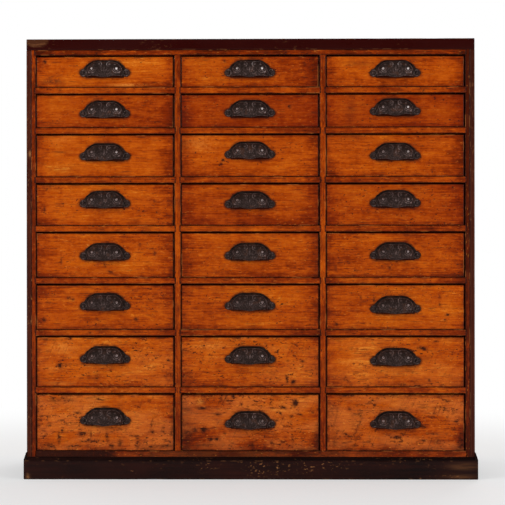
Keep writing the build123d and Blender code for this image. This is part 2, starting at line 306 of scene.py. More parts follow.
# %% Shellacked wood: what has happened to it
def dirt_shade_and_rubs(grain, knocked, stain, halo, patches):
    """A noise that rises past a high level gives separate spots: short dashes along the grain, specks and
    knocks in clusters, smudges, scratches that run askew, and small pale glints. Where `stain` is above zero
    there is a mark, where it is below zero a rubbed place, and flecks break up both. Grime rings the pull in
    patches, and a painted shade lies hard by its outline. Returns how dark a place is with dirt and painted
    shade, how rubbed it is, and then the three kinds of dark mark that are also hollows."""
    clusters = grain.stretch((14, 34, 34), (4, 6, 6)).noise(1).between(0.44, 0.54)
    dashes = grain.stretch((30, 620, 620), (5, 7, 1)).noise(1).between(0.63, 0.68) * patches.between(0.46, 0.56)
    specks = (grain.stretch((170, 330, 330), (2, 8, 1)).noise(1) + knocked * 0.05).between(0.69, 0.71)
    specks = specks * (0.3 + clusters * 0.7)
    knocks = grain.stretch((60, 150, 150), (9, 9, 3)).noise(4, 0.65).between(0.585, 0.605)
    knocks = knocks * (0.4 + clusters * 0.6)
    smudges = grain.stretch((40, 120, 120), (5, 3, 8)).noise(4, 0.7).between(0.56, 0.64)
    scratches = grain.turned(1.15).stretch((16, 500, 700), (3, 3, 2)).noise(1).between(0.685, 0.71)
    # Grime in patches out to 6 mm from the pull, and a painted shade of the pull hard by its outline.
    ring = halo.between(6 * MM, 0.0) * patches.between(0.36, 0.56)
    ring = ring.most(halo.between(1.6 * MM, 0.4 * MM) * 1.5)
    flecks = grain.stretch((230, 210, 210), (7, 7, 2)).noise(3, 0.6).between(0.36, 0.50)
    marks = stain.most(0.0) * (flecks * 0.6 + 0.4)
    dirt_and_shade = dashes * 0.5 + specks * 0.75 + (knocks * 0.6 + smudges * 0.4 + scratches * 0.5) * knocked
    dirt_and_shade = (dirt_and_shade + ring * 0.65 + marks).least(0.95)
    glints = grain.stretch((120, 430, 430), (8, 8, 8)).noise(1).between(0.69, 0.73) * (0.25 + knocked * 0.35)
    rubs = ((0 - stain).most(0.0) * flecks + glints).least(0.9)
    return dirt_and_shade, rubs, knocks * knocked, marks, specks


# %% Shellacked wood: the material
def shellacked_wood():
    """The coats in their order: tone, redness, fading, edges with a painted shade along them, rubbed places,
    and dirt with the painted shade and shadow that share its black.
    """
    material, shader, start = new_material("shellacked_wood", shine=0.08)
    grain, light, red, knocked = board_wires(start)
    rim, stain, halo = (start.attribute(name) for name in ("rim", "stain", "halo"))
    patches = grain.stretch((30, 60, 60), (6, 1, 9)).noise(3, 0.6)
    tone, clouds, bands, lines, blotches = shellac_tone(grain, light)
    shade = red.paint(tone.ramp(SHELLAC_TONES), RED_SHELLAC)
    faded = knocked.between(0.4, 0.8) * clouds.between(0.40, 0.60) * 0.3
    shade = faded.paint(shade, FADED_SHELLAC)
    shade, worn = aged_edges(shade, grain, rim, knocked, patches)
    dirt_and_shade, rubs, knocks, marks, specks = dirt_shade_and_rubs(grain, knocked, stain, halo, patches)
    shade = (rubs * 0.8).paint(shade, RUBBED_PLACE)
    # One near black for the dirt, for the painted shade round each pull, and on the bottom board for a painted
    # shadow.
    shade = dirt_and_shade.paint(shade, BLACK_DIRT_AND_SHADE)
    roughness = 0.27 + dirt_and_shade * 0.3 + worn * 0.2 + blotches.swing(0.2)
    relief = (lines * 0.04 + bands * 0.04 - knocks * 0.25 - marks * 0.3 - specks * 0.1) * MM
    connect(shader, colour=shade, roughness=roughness, relief=relief)
    return material


shellac = shellacked_wood()
print("shellacked wood:", len(shellac.node_tree.nodes), "nodes")

# %% [markdown]
# ## Dark stain
# The top, the sides and the plinth were stained a mahogany so dark that it is nearly black, and it has chipped
# to the pale wood here and there. It is made as the shellac is, with fewer noises, because little of the grain
# shows. `stain` and `flaked` say where it is rubbed away in streaks and where in chips.

# %% Dark stain
STAIN_TONES = ((0.0, (20, 9, 8)), (0.4, (44, 17, 12)), (0.75, (86, 38, 20)), (1.0, (132, 66, 34)))
RED_STAIN, STAIN_LINE, CHIPPED_WOOD = (46, 3, 1), (14, 7, 6), (150, 98, 56)


def dark_stain():
    """Tone from bands and clouds. Over it, pale wood in chips, along chipped arrises and in streaks."""
    material, shader, start = new_material("dark_stain", shine=0.1)
    grain, light, red, knocked = board_wires(start)
    rim, stain, flaked = (start.attribute(name) for name in ("rim", "stain", "flaked"))
    bands = grain.stretch((5, 190, 190)).noise(3, 0.6, 0.5)
    clouds = grain.stretch((8, 20, 20), (3, 3, 3)).noise(3, 0.6)
    tone = 0.35 + bands.swing(0.5) + clouds.swing(0.7) + light
    shade = red.paint(tone.ramp(STAIN_TONES), RED_STAIN)
    shade = (rim.between(1.4 * MM, 0.3 * MM) * 0.5).paint(shade, STAIN_LINE)
    scuffed = grain.stretch((9, 30, 30), (2, 2, 5)).noise(2).between(0.53, 0.64) * knocked
    chips = grain.stretch((130, 240, 240), (5, 2, 6)).noise(3, 0.6).between(0.60, 0.64) * flaked.most(scuffed)
    streaks = grain.stretch((14, 170, 170), (9, 1, 4)).noise(2).between(0.42, 0.60)
    edge_chips = grain.stretch((60, 60, 60), (1, 8, 3)).noise(3).between(0.57, 0.63)
    edge_chips = rim.between(2.5 * MM, 0.4 * MM) * edge_chips
    pale = (chips + edge_chips * 0.3 + stain * (0.35 + streaks * 0.65)).least(1.0)
    shade = (pale * 0.85).paint(shade, CHIPPED_WOOD)
    roughness = 0.3 + clouds.swing(0.3) + pale * 0.25
    connect(shader, colour=shade, roughness=roughness, relief=(bands * 0.05 - pale * 0.15) * MM)
    return material


stain_black = dark_stain()
print("dark stain:", len(stain_black.node_tree.nodes), "nodes")

# %% [markdown]
# ## Bare pine
# Inside, nothing was ever finished: the drawers' sides, the runners and the back boards are bare pine, gone
# brown with age. Pine has broad soft rings, so slow noise across the grain is enough, with a knot here and
# there where another noise is high.

# %% Bare pine
PINE_TONES = ((0.0, (96, 62, 36)), (0.4, (150, 108, 66)), (0.7, (184, 142, 94)), (1.0, (206, 170, 122)))
PINE_KNOT = (74, 40, 20)


def bare_pine():
    """Tone from rings, fibres and clouds, with knots over it. It is matt all over."""
    material, shader, start = new_material("bare_pine", shine=0.2)
    grain, light, *_ = board_wires(start)
    rings = grain.stretch((2.2, 120, 120)).noise(3, 0.5, 1.0)
    fibres = grain.stretch((16, 900, 900)).noise(2, 0.6)
    clouds = grain.stretch((7, 16, 16), (3, 7, 3)).noise(3, 0.6)
    tone = 0.5 + rings.swing(0.9) + fibres.swing(0.3) + clouds.swing(0.8) + light
    knots = grain.stretch((10, 34, 34), (2, 5, 1)).noise(2).between(0.70, 0.76)
    shade = (knots * 0.7).paint(tone.ramp(PINE_TONES), PINE_KNOT)
    relief = (rings * 0.08 + fibres * 0.03) * MM
    connect(shader, colour=shade, roughness=0.72 + clouds.swing(0.2), relief=relief)
    return material


pine = bare_pine()
print("bare pine:", len(pine.node_tree.nodes), "nodes")

# %% [markdown]
# ## Black iron
# The pulls are cast iron with a burnt-on black finish. Hands have rubbed the high places of their relief,
# which shine, and the highest carry a painted highlight, near white. Grime and a little rust stay in the
# hollows, and the grime on the plate above the cup is also a painted shade. How high a place is comes with
# the mesh as `raised`, because the relief is worked out there anyway, and that is surer than to guess it
# from the shape.

# %% Black iron
IRON_TONES = ((0.0, (36, 25, 21)), (0.25, (59, 45, 42)), (0.55, (110, 92, 88)), (1.0, (204, 188, 186)))
# The first of these is a painted highlight, near white, and the second grime with a painted shade.
PAINTED_HIGHLIGHT, IRON_GRIME_AND_SHADE, RUST = (255, 248, 244), (14, 8, 6), (78, 42, 20)


def black_iron():
    """Tone from the height, clouds and the grain of the mould's sand. Only the highest places carry a painted
    highlight, near white, and the plate above the cup carries grime with a painted shade.
    """
    material, shader, start = new_material("black_iron", shine=0.08)
    grain = start.attribute("grain", "Vector")
    raised, stain = start.attribute("raised"), start.attribute("stain")
    sand = grain.stretch((420, 420, 420)).noise(3, 0.7)
    clouds = grain.stretch((70, 70, 70), (3, 3, 3)).noise(3, 0.6)
    shade = (raised * 0.7 + clouds.swing(0.4) + sand.swing(1.4)).ramp(IRON_TONES)
    # A painted highlight, near white, on the highest places, where the metal is lessened to keep it bright.
    painted_highlight = raised.between(0.84, 1.1) * 0.5
    shade = painted_highlight.paint(shade, PAINTED_HIGHLIGHT)
    # Grime and a painted shade, near black, on the plate above the cup.
    shade = (stain * clouds.between(0.36, 0.50)).paint(shade, IRON_GRIME_AND_SHADE)
    rust = clouds.between(0.56, 0.66) * (1 - raised)
    shade = (rust * 0.35).paint(shade, RUST)
    roughness = 0.6 - raised * 0.25 + clouds.swing(0.3)
    metal = raised * 0.5 - painted_highlight * 0.3
    connect(shader, colour=shade, roughness=roughness, metal=metal, relief=sand * 0.06 * MM)
    return material


iron = black_iron()
print("black iron:", len(iron.node_tree.nodes), "nodes")

# %% [markdown]
# ## Boards
# A new board isn't a plain box: a plane leaves its arrises sharp, and a century of hands and brushes rounds
# them, more in one place than in the next. A rounded box is every point of a smaller box pushed out by the
# radius along a direction. The surface is worked out as a ring round the board, carried along it: the ring
# has a few points at each corner and more along its sides, and it closes in over each end.

# %% Noise and grids for whole arrays of points
# Points lie closer together near the end of a board, where it is rounded.
NEAR_AN_END = (1.2 * MM, 3.5 * MM, 8 * MM)


def ripple(places, wavelength, seed, waves=7):
    """Smooth bumps from about -1 to 1: a sum of sine waves with random directions, lengths and phases."""
    random = np.random.default_rng(seed)
    directions = random.normal(size=(waves, places.shape[-1]))
    directions /= np.linalg.norm(directions, axis=1, keepdims=True)
    lengths = wavelength * random.uniform(0.6, 1.7, waves)
    angles = places @ (directions / lengths[:, None]).T * 2 * pi + random.uniform(0, 2 * pi, waves)
    return np.sin(angles).sum(-1) / np.sqrt(waves * 2)


def bell(value, width):
    """1 at 0, fading to 0 over about this width."""
    return np.exp(-((value / width) ** 2))


def stations(length, step):
    """Places from 0 to length: a few close to each end, and even ones between."""
    near = [0.0] + [d for d in NEAR_AN_END if d < length * 0.4]
    count = max(2, int((length - 2 * near[-1]) / step) + 1)
    middle = np.linspace(near[-1], length - near[-1], count)
    return np.concatenate([near[:-1], middle, length - np.array(near[:-1])[::-1]])


def grid_faces(rows, columns):
    """The quads between neighbouring points of a grid whose rows are closed rings."""
    row, column = np.arange(rows - 1)[:, None], np.arange(columns)[None, :]
    following = (column + 1) % columns
    corners = [row * columns + column, row * columns + following]
    corners += [(row + 1) * columns + following, (row + 1) * columns + column]
    return np.stack(np.broadcast_arrays(*corners), -1).reshape(-1, 4)


print("along a 300 mm board:", len(stations(300 * MM, 20 * MM)), "stations")

# %% One board
# ROUNDING are the angles of a corner's points.
ROUNDING = np.linspace(0, pi / 2, 4)
CORNERS = np.array([(1, 1), (-1, 1), (-1, -1), (1, -1)], float)


def board_ring(half_a, half_b, radius, steps):
    """One ring round a board: for each point its place on the inner box, from -1 to 1 both ways, and the
    outward direction. Each corner is a quarter circle, and the side after it has points of its own."""
    places, outward = [], []
    for quarter in range(4):
        corner, following = CORNERS[quarter], CORNERS[(quarter + 1) % 4]
        angles = quarter * pi / 2 + ROUNDING
        places += [corner] * len(angles)
        outward += list(np.stack([np.cos(angles), np.sin(angles)], -1))
        side = 2 * ((half_a if quarter % 2 == 0 else half_b) - radius)
        shares = stations(side, steps[quarter])[1:-1] / side
        places += [corner + (following - corner) * share for share in shares]
        outward += [outward[-1]] * len(shares)
    return np.array(places), np.array(outward)


def board_surface(low, high, along, radius, wear, steps, step_along, seed, cuts=()):
    """A box whose arrises are rounded and unevenly worn, from its lowest corner to its highest.

    A point is its place on an inner box, plus the radius times the outward direction. The radius grows
    where random ripples along the arris are high. Past the end of the inner box the direction tips
    over from sideways to endways. Returns the points and two arrays of faces, the sides and the ends."""
    low, high = np.array(low, float), np.array(high, float)
    centre, half = (low + high) / 2, (high - low) / 2
    across = ((along + 1) % 3, (along + 2) % 3)
    radius = min(radius, 0.3 * min(half))
    places, outward = board_ring(half[across[0]], half[across[1]], radius, steps)
    reach = half[along] - radius
    inner = stations(2 * reach, step_along) - reach
    inner = np.sort(np.concatenate([inner, np.array(cuts, float) - centre[along]]))
    tips = ROUNDING[1:]
    travel = np.concatenate([-reach - radius * np.sin(tips[::-1]), inner, reach + radius * np.sin(tips)])
    level = np.concatenate([np.cos(tips[::-1]), np.ones(len(inner)), np.cos(tips)])[:, None]
    points = np.zeros((len(travel), len(places), 3))
    points[..., along] = travel[:, None]
    for number, axis in enumerate(across):
        points[..., axis] = places[:, number] * half[axis]
    bumps = np.clip(ripple(points + centre, 70 * MM, seed), 0, 1.5) ** 2
    bumps = bumps + 0.5 * np.clip(ripple(points + centre, 15 * MM, seed + 1) - 0.5, 0, 1)
    rounding = np.minimum(radius + wear * bumps, 0.6 * min(half[axis] for axis in across))
    for number, axis in enumerate(across):
        inner_box = places[:, number] * (half[axis] - rounding)
        points[..., axis] = inner_box + outward[:, number] * rounding * level
    rows, columns = points.shape[:2]
    around = np.arange(columns)
    ends = np.stack([around[::-1], around + (rows - 1) * columns])
    return (points + centre).reshape(-1, 3), [grid_faces(rows, columns), ends]


ring, _ = board_ring(100 * MM, 10 * MM, 1 * MM, (20 * MM,) * 4)
print("a ring round a board of 200 by 20 mm:", len(ring), "points")

# %% [markdown]
# ## Pieces
# A piece gathers its boards in one mesh, with the numbers that its material reads. The CAD model says where
# every board is: a node's mesh is taken apart into its loose solids, and a square solid's lowest and highest
# corners are all that a board needs. A solid of any other shape is copied, and a bevel eases its edges.

# %% Loose solids of a CAD node
# Points that are nearer than this count as one.
SAME_PLACE = 0.002 * MM


def closings(triangles):
    """The numbers of the triangles that each close a solid.

    The solids are stored one after another. Neighbouring triangles run along their common edge in opposite
    directions. So each edge has a sum, of +1 and -1 for the two directions, and the sizes of all the sums
    add up to zero whenever a surface is complete."""
    edges = triangles[:, [[0, 1], [1, 2], [2, 0]]].reshape(-1, 2)
    turn = np.where(edges[:, 0] < edges[:, 1], 1, -1)
    number = np.sort(edges, axis=1) @ (edges.max() + 1, 1)
    order = np.argsort(number, kind="stable")
    sorted_number, running = number[order], np.cumsum(turn[order])
    first = np.r_[True, sorted_number[1:] != sorted_number[:-1]]
    before = np.r_[0, running[:-1]]
    start = np.maximum.accumulate(np.where(first, np.arange(len(order)), 0))
    after_sum, before_sum = running - before[start], before - before[start]
    change = np.zeros(len(triangles))
    np.add.at(change, order // 3, np.abs(after_sum) - np.abs(before_sum))
    return np.flatnonzero(np.cumsum(change) == 0)


def loose_solids(node):
    """The separate solids of a CAD node's mesh, each as points and triangles. Points at one place are merged
    first, because the mesh has one for each face that meets there."""
    mesh = frame["nodes"][node].data
    points = np.zeros(len(mesh.vertices) * 3)
    mesh.vertices.foreach_get("co", points)
    mesh.calc_loop_triangles()
    triangles = np.zeros(len(mesh.loop_triangles) * 3, int)
    mesh.loop_triangles.foreach_get("vertices", triangles)
    places = np.round(points.reshape(-1, 3) / SAME_PLACE)
    _, first, merged = np.unique(places, axis=0, return_index=True, return_inverse=True)
    points = points.reshape(-1, 3)[first]
    triangles = merged.reshape(-1)[triangles].reshape(-1, 3)
    triangles = triangles[(triangles != np.roll(triangles, 1, axis=1)).all(1)]
    solids = []
    for mine in np.split(triangles, closings(triangles) + 1)[:-1]:
        used, renumbered = np.unique(mine, return_inverse=True)
        solids.append((points[used], renumbered.reshape(-1, 3)))
    return solids


def corners_of(solid):
    """A solid's lowest and highest corner."""
    return solid[0].min(0), solid[0].max(0)


print("a drawer's node is", len(loose_solids("drawer_1_left")), "boards")

# %% A piece of timber
# `rim` and `halo` are distances, so a point that has neither gets FAR. A tree is wider than any board, and the
# last two angles tell which folds are shaded sharp and which are bevelled.
ALONG_X, ALONG_Y, ALONG_Z = 0, 1, 2
FAR = 1.0
USUAL = {"rim": FAR, "stain": 0.0, "halo": FAR, "raised": 0.0, "flaked": 0.0}
TREE_SIZE = 9.0
SHARP_FOLD, BEVELLED_FOLD = radians(38), radians(40)


class Timber:
    """Boards gathered into one mesh, with the numbers that their material reads at each point."""

    def __init__(self):
        self.points, self.faces, self.finish, self.total = [], [], [], 0
        self.numbers = {name: [] for name in ("grain", "look", *USUAL)}

    def add(self, points, faces, along, look, seed, finish=0, **numbers):
        """Join a board. Its faces are arrays of corner numbers. Its grain runs along one direction, and
        starts at a random place in the tree. numbers holds those that differ from the USUAL ones."""
        random = np.random.default_rng(seed)
        turned = np.roll(points, -along, axis=1)
        self.numbers["grain"].append(turned + random.uniform(-TREE_SIZE, TREE_SIZE, 3))
        self.numbers["look"].append(np.broadcast_to(look, (len(points), 3)))
        for name, usual in USUAL.items():
            self.numbers[name].append(np.broadcast_to(numbers.get(name, usual), len(points)))
        self.points.append(points)
        for group in faces:
            self.faces += (group + self.total).tolist()
        self.finish += np.broadcast_to(finish, sum(map(len, faces))).tolist()
        self.total += len(points)

    def add_board(self, low, high, along, look, seed, radius=0.8 * MM, wear=0.6 * MM, steps=(20 * MM,) * 4,
                  step_along=20 * MM, finish=0, shape=None, cuts=(), ends_show=True, **rules):
        """Join a worn board between two corners. shape is a function that moves its points, such as a dent.
        finish may be a function of the faces' centres. rules are functions that give a number to each point.
        Hidden ends have no arris."""
        points, faces = board_surface(low, high, along, radius, wear, steps, step_along, seed, cuts)
        look = look(points) if callable(look) else look
        from_faces = np.minimum(points - low, np.array(high) - points)
        if not ends_show:
            from_faces[:, along] = FAR
        rim = np.clip(np.sort(from_faces, axis=1)[:, 1], 0, 1)
        numbers = {name: rule(points) for name, rule in rules.items()}
        if callable(finish):
            finish = finish(np.concatenate([points[group].mean(1) for group in faces]))
        if shape:
            points = shape(points)
        self.add(points, faces, along, look, seed, finish, rim=rim, **numbers)

    def add_copy(self, solid, along, look, seed, finish=0, **numbers):
        """Join a copy of a CAD solid, as it is."""
        points, triangles = solid
        self.add(points, [triangles], along, look, seed, finish, **numbers)

    def make(self, name, finishes, body, nodes, bevel=0.0):
        """Turn what was gathered into an object that rides on a body and stands for CAD nodes."""
        mesh = bpy.data.meshes.new(name)
        mesh.from_pydata(np.concatenate(self.points).tolist(), [], self.faces)
        for key, parts in self.numbers.items():
            values = np.concatenate(parts).astype(np.float32)
            kind, field = ("FLOAT_VECTOR", "vector") if values.ndim == 2 else ("FLOAT", "value")
            mesh.attributes.new(key, kind, "POINT").data.foreach_set(field, values.ravel())
        for finish in finishes:
            mesh.materials.append(finish)
        mesh.polygons.foreach_set("material_index", self.finish)
        mesh.polygons.foreach_set("use_smooth", [True] * len(mesh.polygons))
        mesh.set_sharp_from_angle(angle=SHARP_FOLD)
        mesh.update()
        piece = bpy.data.objects.new(name, mesh)
        bpy.context.scene.collection.objects.link(piece)
        if bevel:
            rounded = piece.modifiers.new("eased edges", "BEVEL")
            rounded.width, rounded.segments, rounded.limit_method = bevel, 2, "ANGLE"
            rounded.angle_limit = BEVELLED_FOLD
            rounded.harden_normals = True
        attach(piece, body)
        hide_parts(*nodes)
        return piece


# %% [markdown]
# ## The case
# The top, the sides and the plinth are the dark parts. Their wear is anything but even: feet have flaked the
# plinth, and hands have rubbed the corners. Each mark is put where it is, as a soft spot, because no noise
# would happen to flake the same places.

# %% Wear at chosen places
# A mark is given in millimetres: where its middle is across and up the front, half its width and half its
# height. Then come its strength and, where it is tilted, by how much.
def mark_table(*rows):
    """Marks as an array, in metres, with a tilt of 0 where none is given."""
    return np.array([(*row, 0.0)[:6] for row in rows]) * (MM, MM, MM, MM, 1, 1)


def held(points, marks):
    """How strongly each mark holds at each point: a bell curve with the distance from its middle."""
    x, z = (points[:, axis, None] - marks[:, place] for place, axis in enumerate((0, 2)))
    tilt = marks[:, 5]
    across, up = x * np.cos(tilt) + z * np.sin(tilt), z * np.cos(tilt) - x * np.sin(tilt)
    return marks[:, 4] * bell(np.hypot(across / marks[:, 2], up / marks[:, 3]), 1)


def on_front(points):
    """1 for a point on the front face of its board, or else 0."""
    return points[:, 1] < points[:, 1].min() + 1 * MM


RUBBED = mark_table(
    (426, 26, 26, 6, 0.35), (414, 6, 28, 3.2, 0.4), (-446, 6, 3.2, 4, 0.9), (-442, 652, 2.6, 4.4, 1.6),
    (430, 856, 3.2, 6, 0.8, 0.4),
)
FLAKED = mark_table(
    (-264, 31, 8, 4, 0.9), (-238, 18, 6, 4, 0.9), (-88, 28, 18, 10, 0.8), (-12, 38, 14, 5, 0.8),
    (20, 22, 22, 14, 1), (58, 26, 20, 12, 1), (114, 26, 22, 12, 0.9), (152, 30, 18, 10, 0.8),
    (180, 28, 14, 8, 0.7), (272, 38, 20, 5, 0.8), (308, 36, 14, 5, 0.8), (342, 4, 18, 3, 0.9),
    (400, 6, 26, 3, 0.9), (-382, 8, 6, 4, 0.6), (432, 640, 10, 18, 1), (432, 700, 8, 10, 0.5),
    (428, 856, 10, 10, 1), (-442, 720, 8, 20, 0.4),
)


def where_rubbed(points):
    """How far the dark stain is rubbed away in streaks."""
    return np.minimum(held(points, RUBBED).max(1), 1) * on_front(points)


def where_flaked(points):
    """How much of the dark stain has flaked off in small chips."""
    return held(points, FLAKED).max(1) * on_front(points)


print("the case has", len(RUBBED), "rubbed places and", len(FLAKED), "flaked ones")

# %% [markdown]
# ## Top board
# One board covers the cabinet, with its arris worn more than a rule would draw it. Only its front edge shows
# in the photograph, so points are dense there. At its left end is a paler patch, half a lens high.

# %% Top board
# A look is how light a board is, how red and how knocked about.
TOP_LOOK = (-0.2, 0.85, 0.15)
PATCH_FROM_END, PATCH_HALF_WIDTH, PATCH_HEIGHT, PATCH_STRENGTH = 20 * MM, 26 * MM, 17 * MM, 0.45

low, high = corners_of(loose_solids("top_board")[0])


def corner_patch(points):
    """The paler half lens on the left end of the top board's front edge."""
    across = (points[:, 0] - (low[0] + PATCH_FROM_END)) / PATCH_HALF_WIDTH
    down = (high[2] - points[:, 2]) / PATCH_HEIGHT
    is_front = points[:, 1] < low[1] + 3 * MM
    return PATCH_STRENGTH * is_front * np.clip((1 - across**2 - down**2) * 4, 0, 1)


top = Timber()
top.add_board(low, high, ALONG_X, TOP_LOOK, 11, radius=1.5 * MM, wear=0.9 * MM, stain=corner_patch,
              steps=(20 * MM, 3 * MM, 20 * MM, 20 * MM), step_along=4 * MM)
top.make("top_board_worn", [stain_black], "case", ["top_board"])
print("top board:", top.total, "points")

# %% [markdown]
# ## Side panels
# The front edge of each side has a fine quirk down it, cut with a scratch stock, so the panel looks like a
# thin strip with a bead beside it. The points of the edge lie close together, and those near its middle move
# back. That is simpler than to cut a groove into a solid, and follows the worn arris.

# %% Side panels
SIDE_LOOK = (0.26, 0.25, 0.35)
QUIRK_DEPTH, QUIRK_HALF_WIDTH = 1.2 * MM, 0.8 * MM
for number, node in enumerate(("left_side_panel", "right_side_panel")):
    low, high = corners_of(loose_solids(node)[0])

    def quirk(points):
        """A V cut: as deep as a point is near the middle of the front edge."""
        near = 1 - np.abs(points[:, 0] - (low[0] + high[0]) / 2) / QUIRK_HALF_WIDTH
        is_front = points[:, 1] < low[1] + 0.5 * MM
        points[:, 1] += is_front * QUIRK_DEPTH * np.clip(near, 0, 1)
        return points

    side = Timber()
    side.add_board(low, high, ALONG_Z, SIDE_LOOK, 21 + number, radius=0.8 * MM, wear=0.7 * MM, shape=quirk,
                   steps=(20 * MM, 14 * MM, 0.55 * MM, 14 * MM), step_along=5 * MM,
                   stain=where_rubbed, flaked=where_flaked)
    side.make(node + "_worn", [stain_black], "case", [node])
    print(node, side.total, "points")

# %% [markdown]
# ## Plinth and base moulding
# The plinth is three boards, mitred at the front corners: each board is a whole box, and its points move in
# step with their depth, so that the end closes on the mitre. The moulding above it has a profile that the CAD
# solids already give, so it is copied, and a bevel takes the sharpness off.

# %% Plinth
PLINTH_LOOK = (-0.16, 0.0, 0.15)
PLINTH_WEAR = dict(radius=1.0 * MM, wear=1.6 * MM, step_along=4 * MM, steps=(9 * MM, 4 * MM, 9 * MM, 9 * MM))

low, high = (np.array(corner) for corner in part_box("plinth_boards"))
behind_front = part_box("plinth_backing")[0][1]
thickness = behind_front - low[1]


def mitred_front(points):
    """Both ends cut at 45 degrees: a point moves in by as much as it is deep, in step with its place."""
    middle, half = (low[0] + high[0]) / 2, (high[0] - low[0]) / 2
    points[:, 0] = middle + (points[:, 0] - middle) * (half - (points[:, 1] - low[1])) / half
    return points


def mitred_return(points):
    """The front end cut at 45 degrees: a point moves back by as much as it is in from the outer face."""
    depth = np.minimum(points[:, 0] - low[0], high[0] - points[:, 0])
    from_back = (high[1] - points[:, 1]) / (high[1] - low[1])
    points[:, 1] += depth * from_back
    return points


plinth = Timber()
plinth.add_board(low, (high[0], behind_front, high[2]), ALONG_X, PLINTH_LOOK, 31, shape=mitred_front,
                 stain=where_rubbed, flaked=where_flaked, **PLINTH_WEAR)
left_return = low, (low[0] + thickness, *high[1:])
right_return = (high[0] - thickness, *low[1:]), high
for seed, ends in ((32, left_return), (33, right_return)):
    plinth.add_board(*ends, ALONG_Y, PLINTH_LOOK, seed, shape=mitred_return, **PLINTH_WEAR)
plinth.make("plinth_worn", [stain_black], "case", ["plinth_boards"])
print("plinth:", round(thickness / MM, 1), "mm thick")

# %% Base moulding
MOULDING_LOOK = (-0.32, 0.0, 0.4)
SOFT_EDGE = 0.4 * MM
moulding = Timber()
for number, solid in enumerate(loose_solids("base_moulding")):
    size = np.ptp(solid[0], axis=0)
    moulding.add_copy(solid, int(np.argmax(size)), MOULDING_LOOK, 41 + number)
moulding.make("base_moulding_worn", [stain_black], "case", ["base_moulding"], bevel=SOFT_EDGE)
print("moulding:", number + 1, "strips")

# %% [markdown]
# ## Rails
# A rail lies under each drawer, housed into the uprights, and two long ones lie under the top board. They are
# shellacked as the drawers are. Grime has stayed in the joint at either end, where no cloth reaches.

# %% Rails
# The levels are counted from the top. The long rails are at level 0, and have a look of their own.
LONG_RAIL = 500 * MM
JOINT_LINE = 1.6 * MM
LONG_RAIL_LIGHT = -0.28
DARKER_RAILS = {1: 0.09, 2: 0.04, 3: 0.08, 4: 0.07, 5: 0.14, 6: 0.12, 7: 0.02}

rails = [corners_of(solid) for solid in loose_solids("drawer_rails")]
levels = sorted({round(low[2], 4) for low, high in rails}, reverse=True)
random = np.random.default_rng(5)
framing = Timber()
for number, (low, high) in enumerate(rails):

    def joint_line(points):
        """Grime in the joint at either end of a rail."""
        from_end = np.minimum(points[:, 0] - low[0], high[0] - points[:, 0])
        return 0.9 * np.clip(JOINT_LINE * 2 - from_end, 0, JOINT_LINE) / JOINT_LINE

    def rail_look(points):
        """The rail's look: darker towards its joints, by a bell curve."""
        from_end = np.minimum(points[:, 0] - low[0], high[0] - points[:, 0])
        return np.array((light, 0.0, 0.2)) - np.outer(bell(from_end, 30 * MM), (0.16, 0, 0))

    light = LONG_RAIL_LIGHT
    if high[0] - low[0] < LONG_RAIL:
        light = random.uniform(-0.08, 0.05) - DARKER_RAILS[levels.index(round(low[2], 4))]
    framing.add_board(low, high, ALONG_X, rail_look, 100 + number, radius=0.7 * MM, wear=0.9 * MM,
                      steps=(12 * MM, 3 * MM, 12 * MM, 20 * MM), step_along=4 * MM, ends_show=False,
                      stain=joint_line)
framing.make("drawer_rails_worn", [shellac], "case", ["drawer_rails"])
print(len(rails), "rails on", len(levels), "levels")

# %% [markdown]
# ## Uprights
# Two uprights part the columns, and a thinner lining stands against each side panel. The housings for the
# rails are cut by moving points: a pair of rings lies close to the top and the bottom of each rail, and
# whatever lies inside a rail's box moves back to where the rail stops. A boolean would do it too, but leaves
# long thin faces that shade badly.

# %% Housings
# The two rings of a pair are this far on either side of the cut's edge.
CUT_EDGE = 0.03 * MM


def housed(points):
    """Cut the housings. A point inside a rail moves sideways to the rail's end, but where a long rail runs
    past the board, the point moves back or forward to the rail's inner side."""
    first, last = points[:, 0].min(), points[:, 0].max()
    for low, high in rails:
        inside = ((points > low - CUT_EDGE / 2) & (points < high + CUT_EDGE / 2)).all(1)
        if high[0] - low[0] > LONG_RAIL and first > low[0] + 1 * MM and last < high[0] - 1 * MM:
            points[inside, 1] = high[1] if low[1] + high[1] < 0 else low[1]
        else:
            points[inside, 0] = low[0] if low[0] + high[0] > first + last else high[0]
    return points


def rings_at_rails(low, high):
    """Heights just above and below each rail's top and bottom, between the ends of the board."""
    heights = sorted({round(float(z), 6) for corners in rails for z in (corners[0][2], corners[1][2])})
    rings = [z + side * CUT_EDGE for z in heights for side in (-1, 1)]
    return [z for z in rings if low[2] < z < high[2] - 1 * MM]


# %% Uprights
# How light an upright is, how much darker near its top, and how far down that reaches.
UPRIGHTS = {
    "left lining": (-0.28, 0.07, 160 * MM),
    "left upright": (-0.06, 0.07, 160 * MM),
    "right upright": (-0.12, 0.07, 160 * MM),
    "right lining": (-0.42, 0.33, 200 * MM),
}
THINNEST_UPRIGHT = 10 * MM
posts = Timber()
for number, solid in enumerate(loose_solids("uprights")):
    low, high = corners_of(solid)
    kind = "lining" if high[0] - low[0] < THINNEST_UPRIGHT else "upright"
    light, top_darker, top_reach = UPRIGHTS[("left " if low[0] < 0 else "right ") + kind]

    def upright_look(points):
        """The upright's look: darker near the floor and at the top, by bell curves."""
        at_foot = 0.22 * bell(points[:, 2] - low[2], 90 * MM)
        at_top = top_darker * bell(high[2] - points[:, 2], top_reach)
        return np.array((light, 0.0, 0.3)) - np.outer(at_foot + at_top, (1, 0, 0))

    posts.add_board(low, high, ALONG_Z, upright_look, 140 + number, radius=0.7 * MM, wear=0.9 * MM,
                    steps=(20 * MM, 9 * MM, 3 * MM, 9 * MM), step_along=5 * MM, shape=housed,
                    cuts=rings_at_rails(low, high), ends_show=False)
posts.make("uprights_worn", [shellac], "case", ["uprights"])
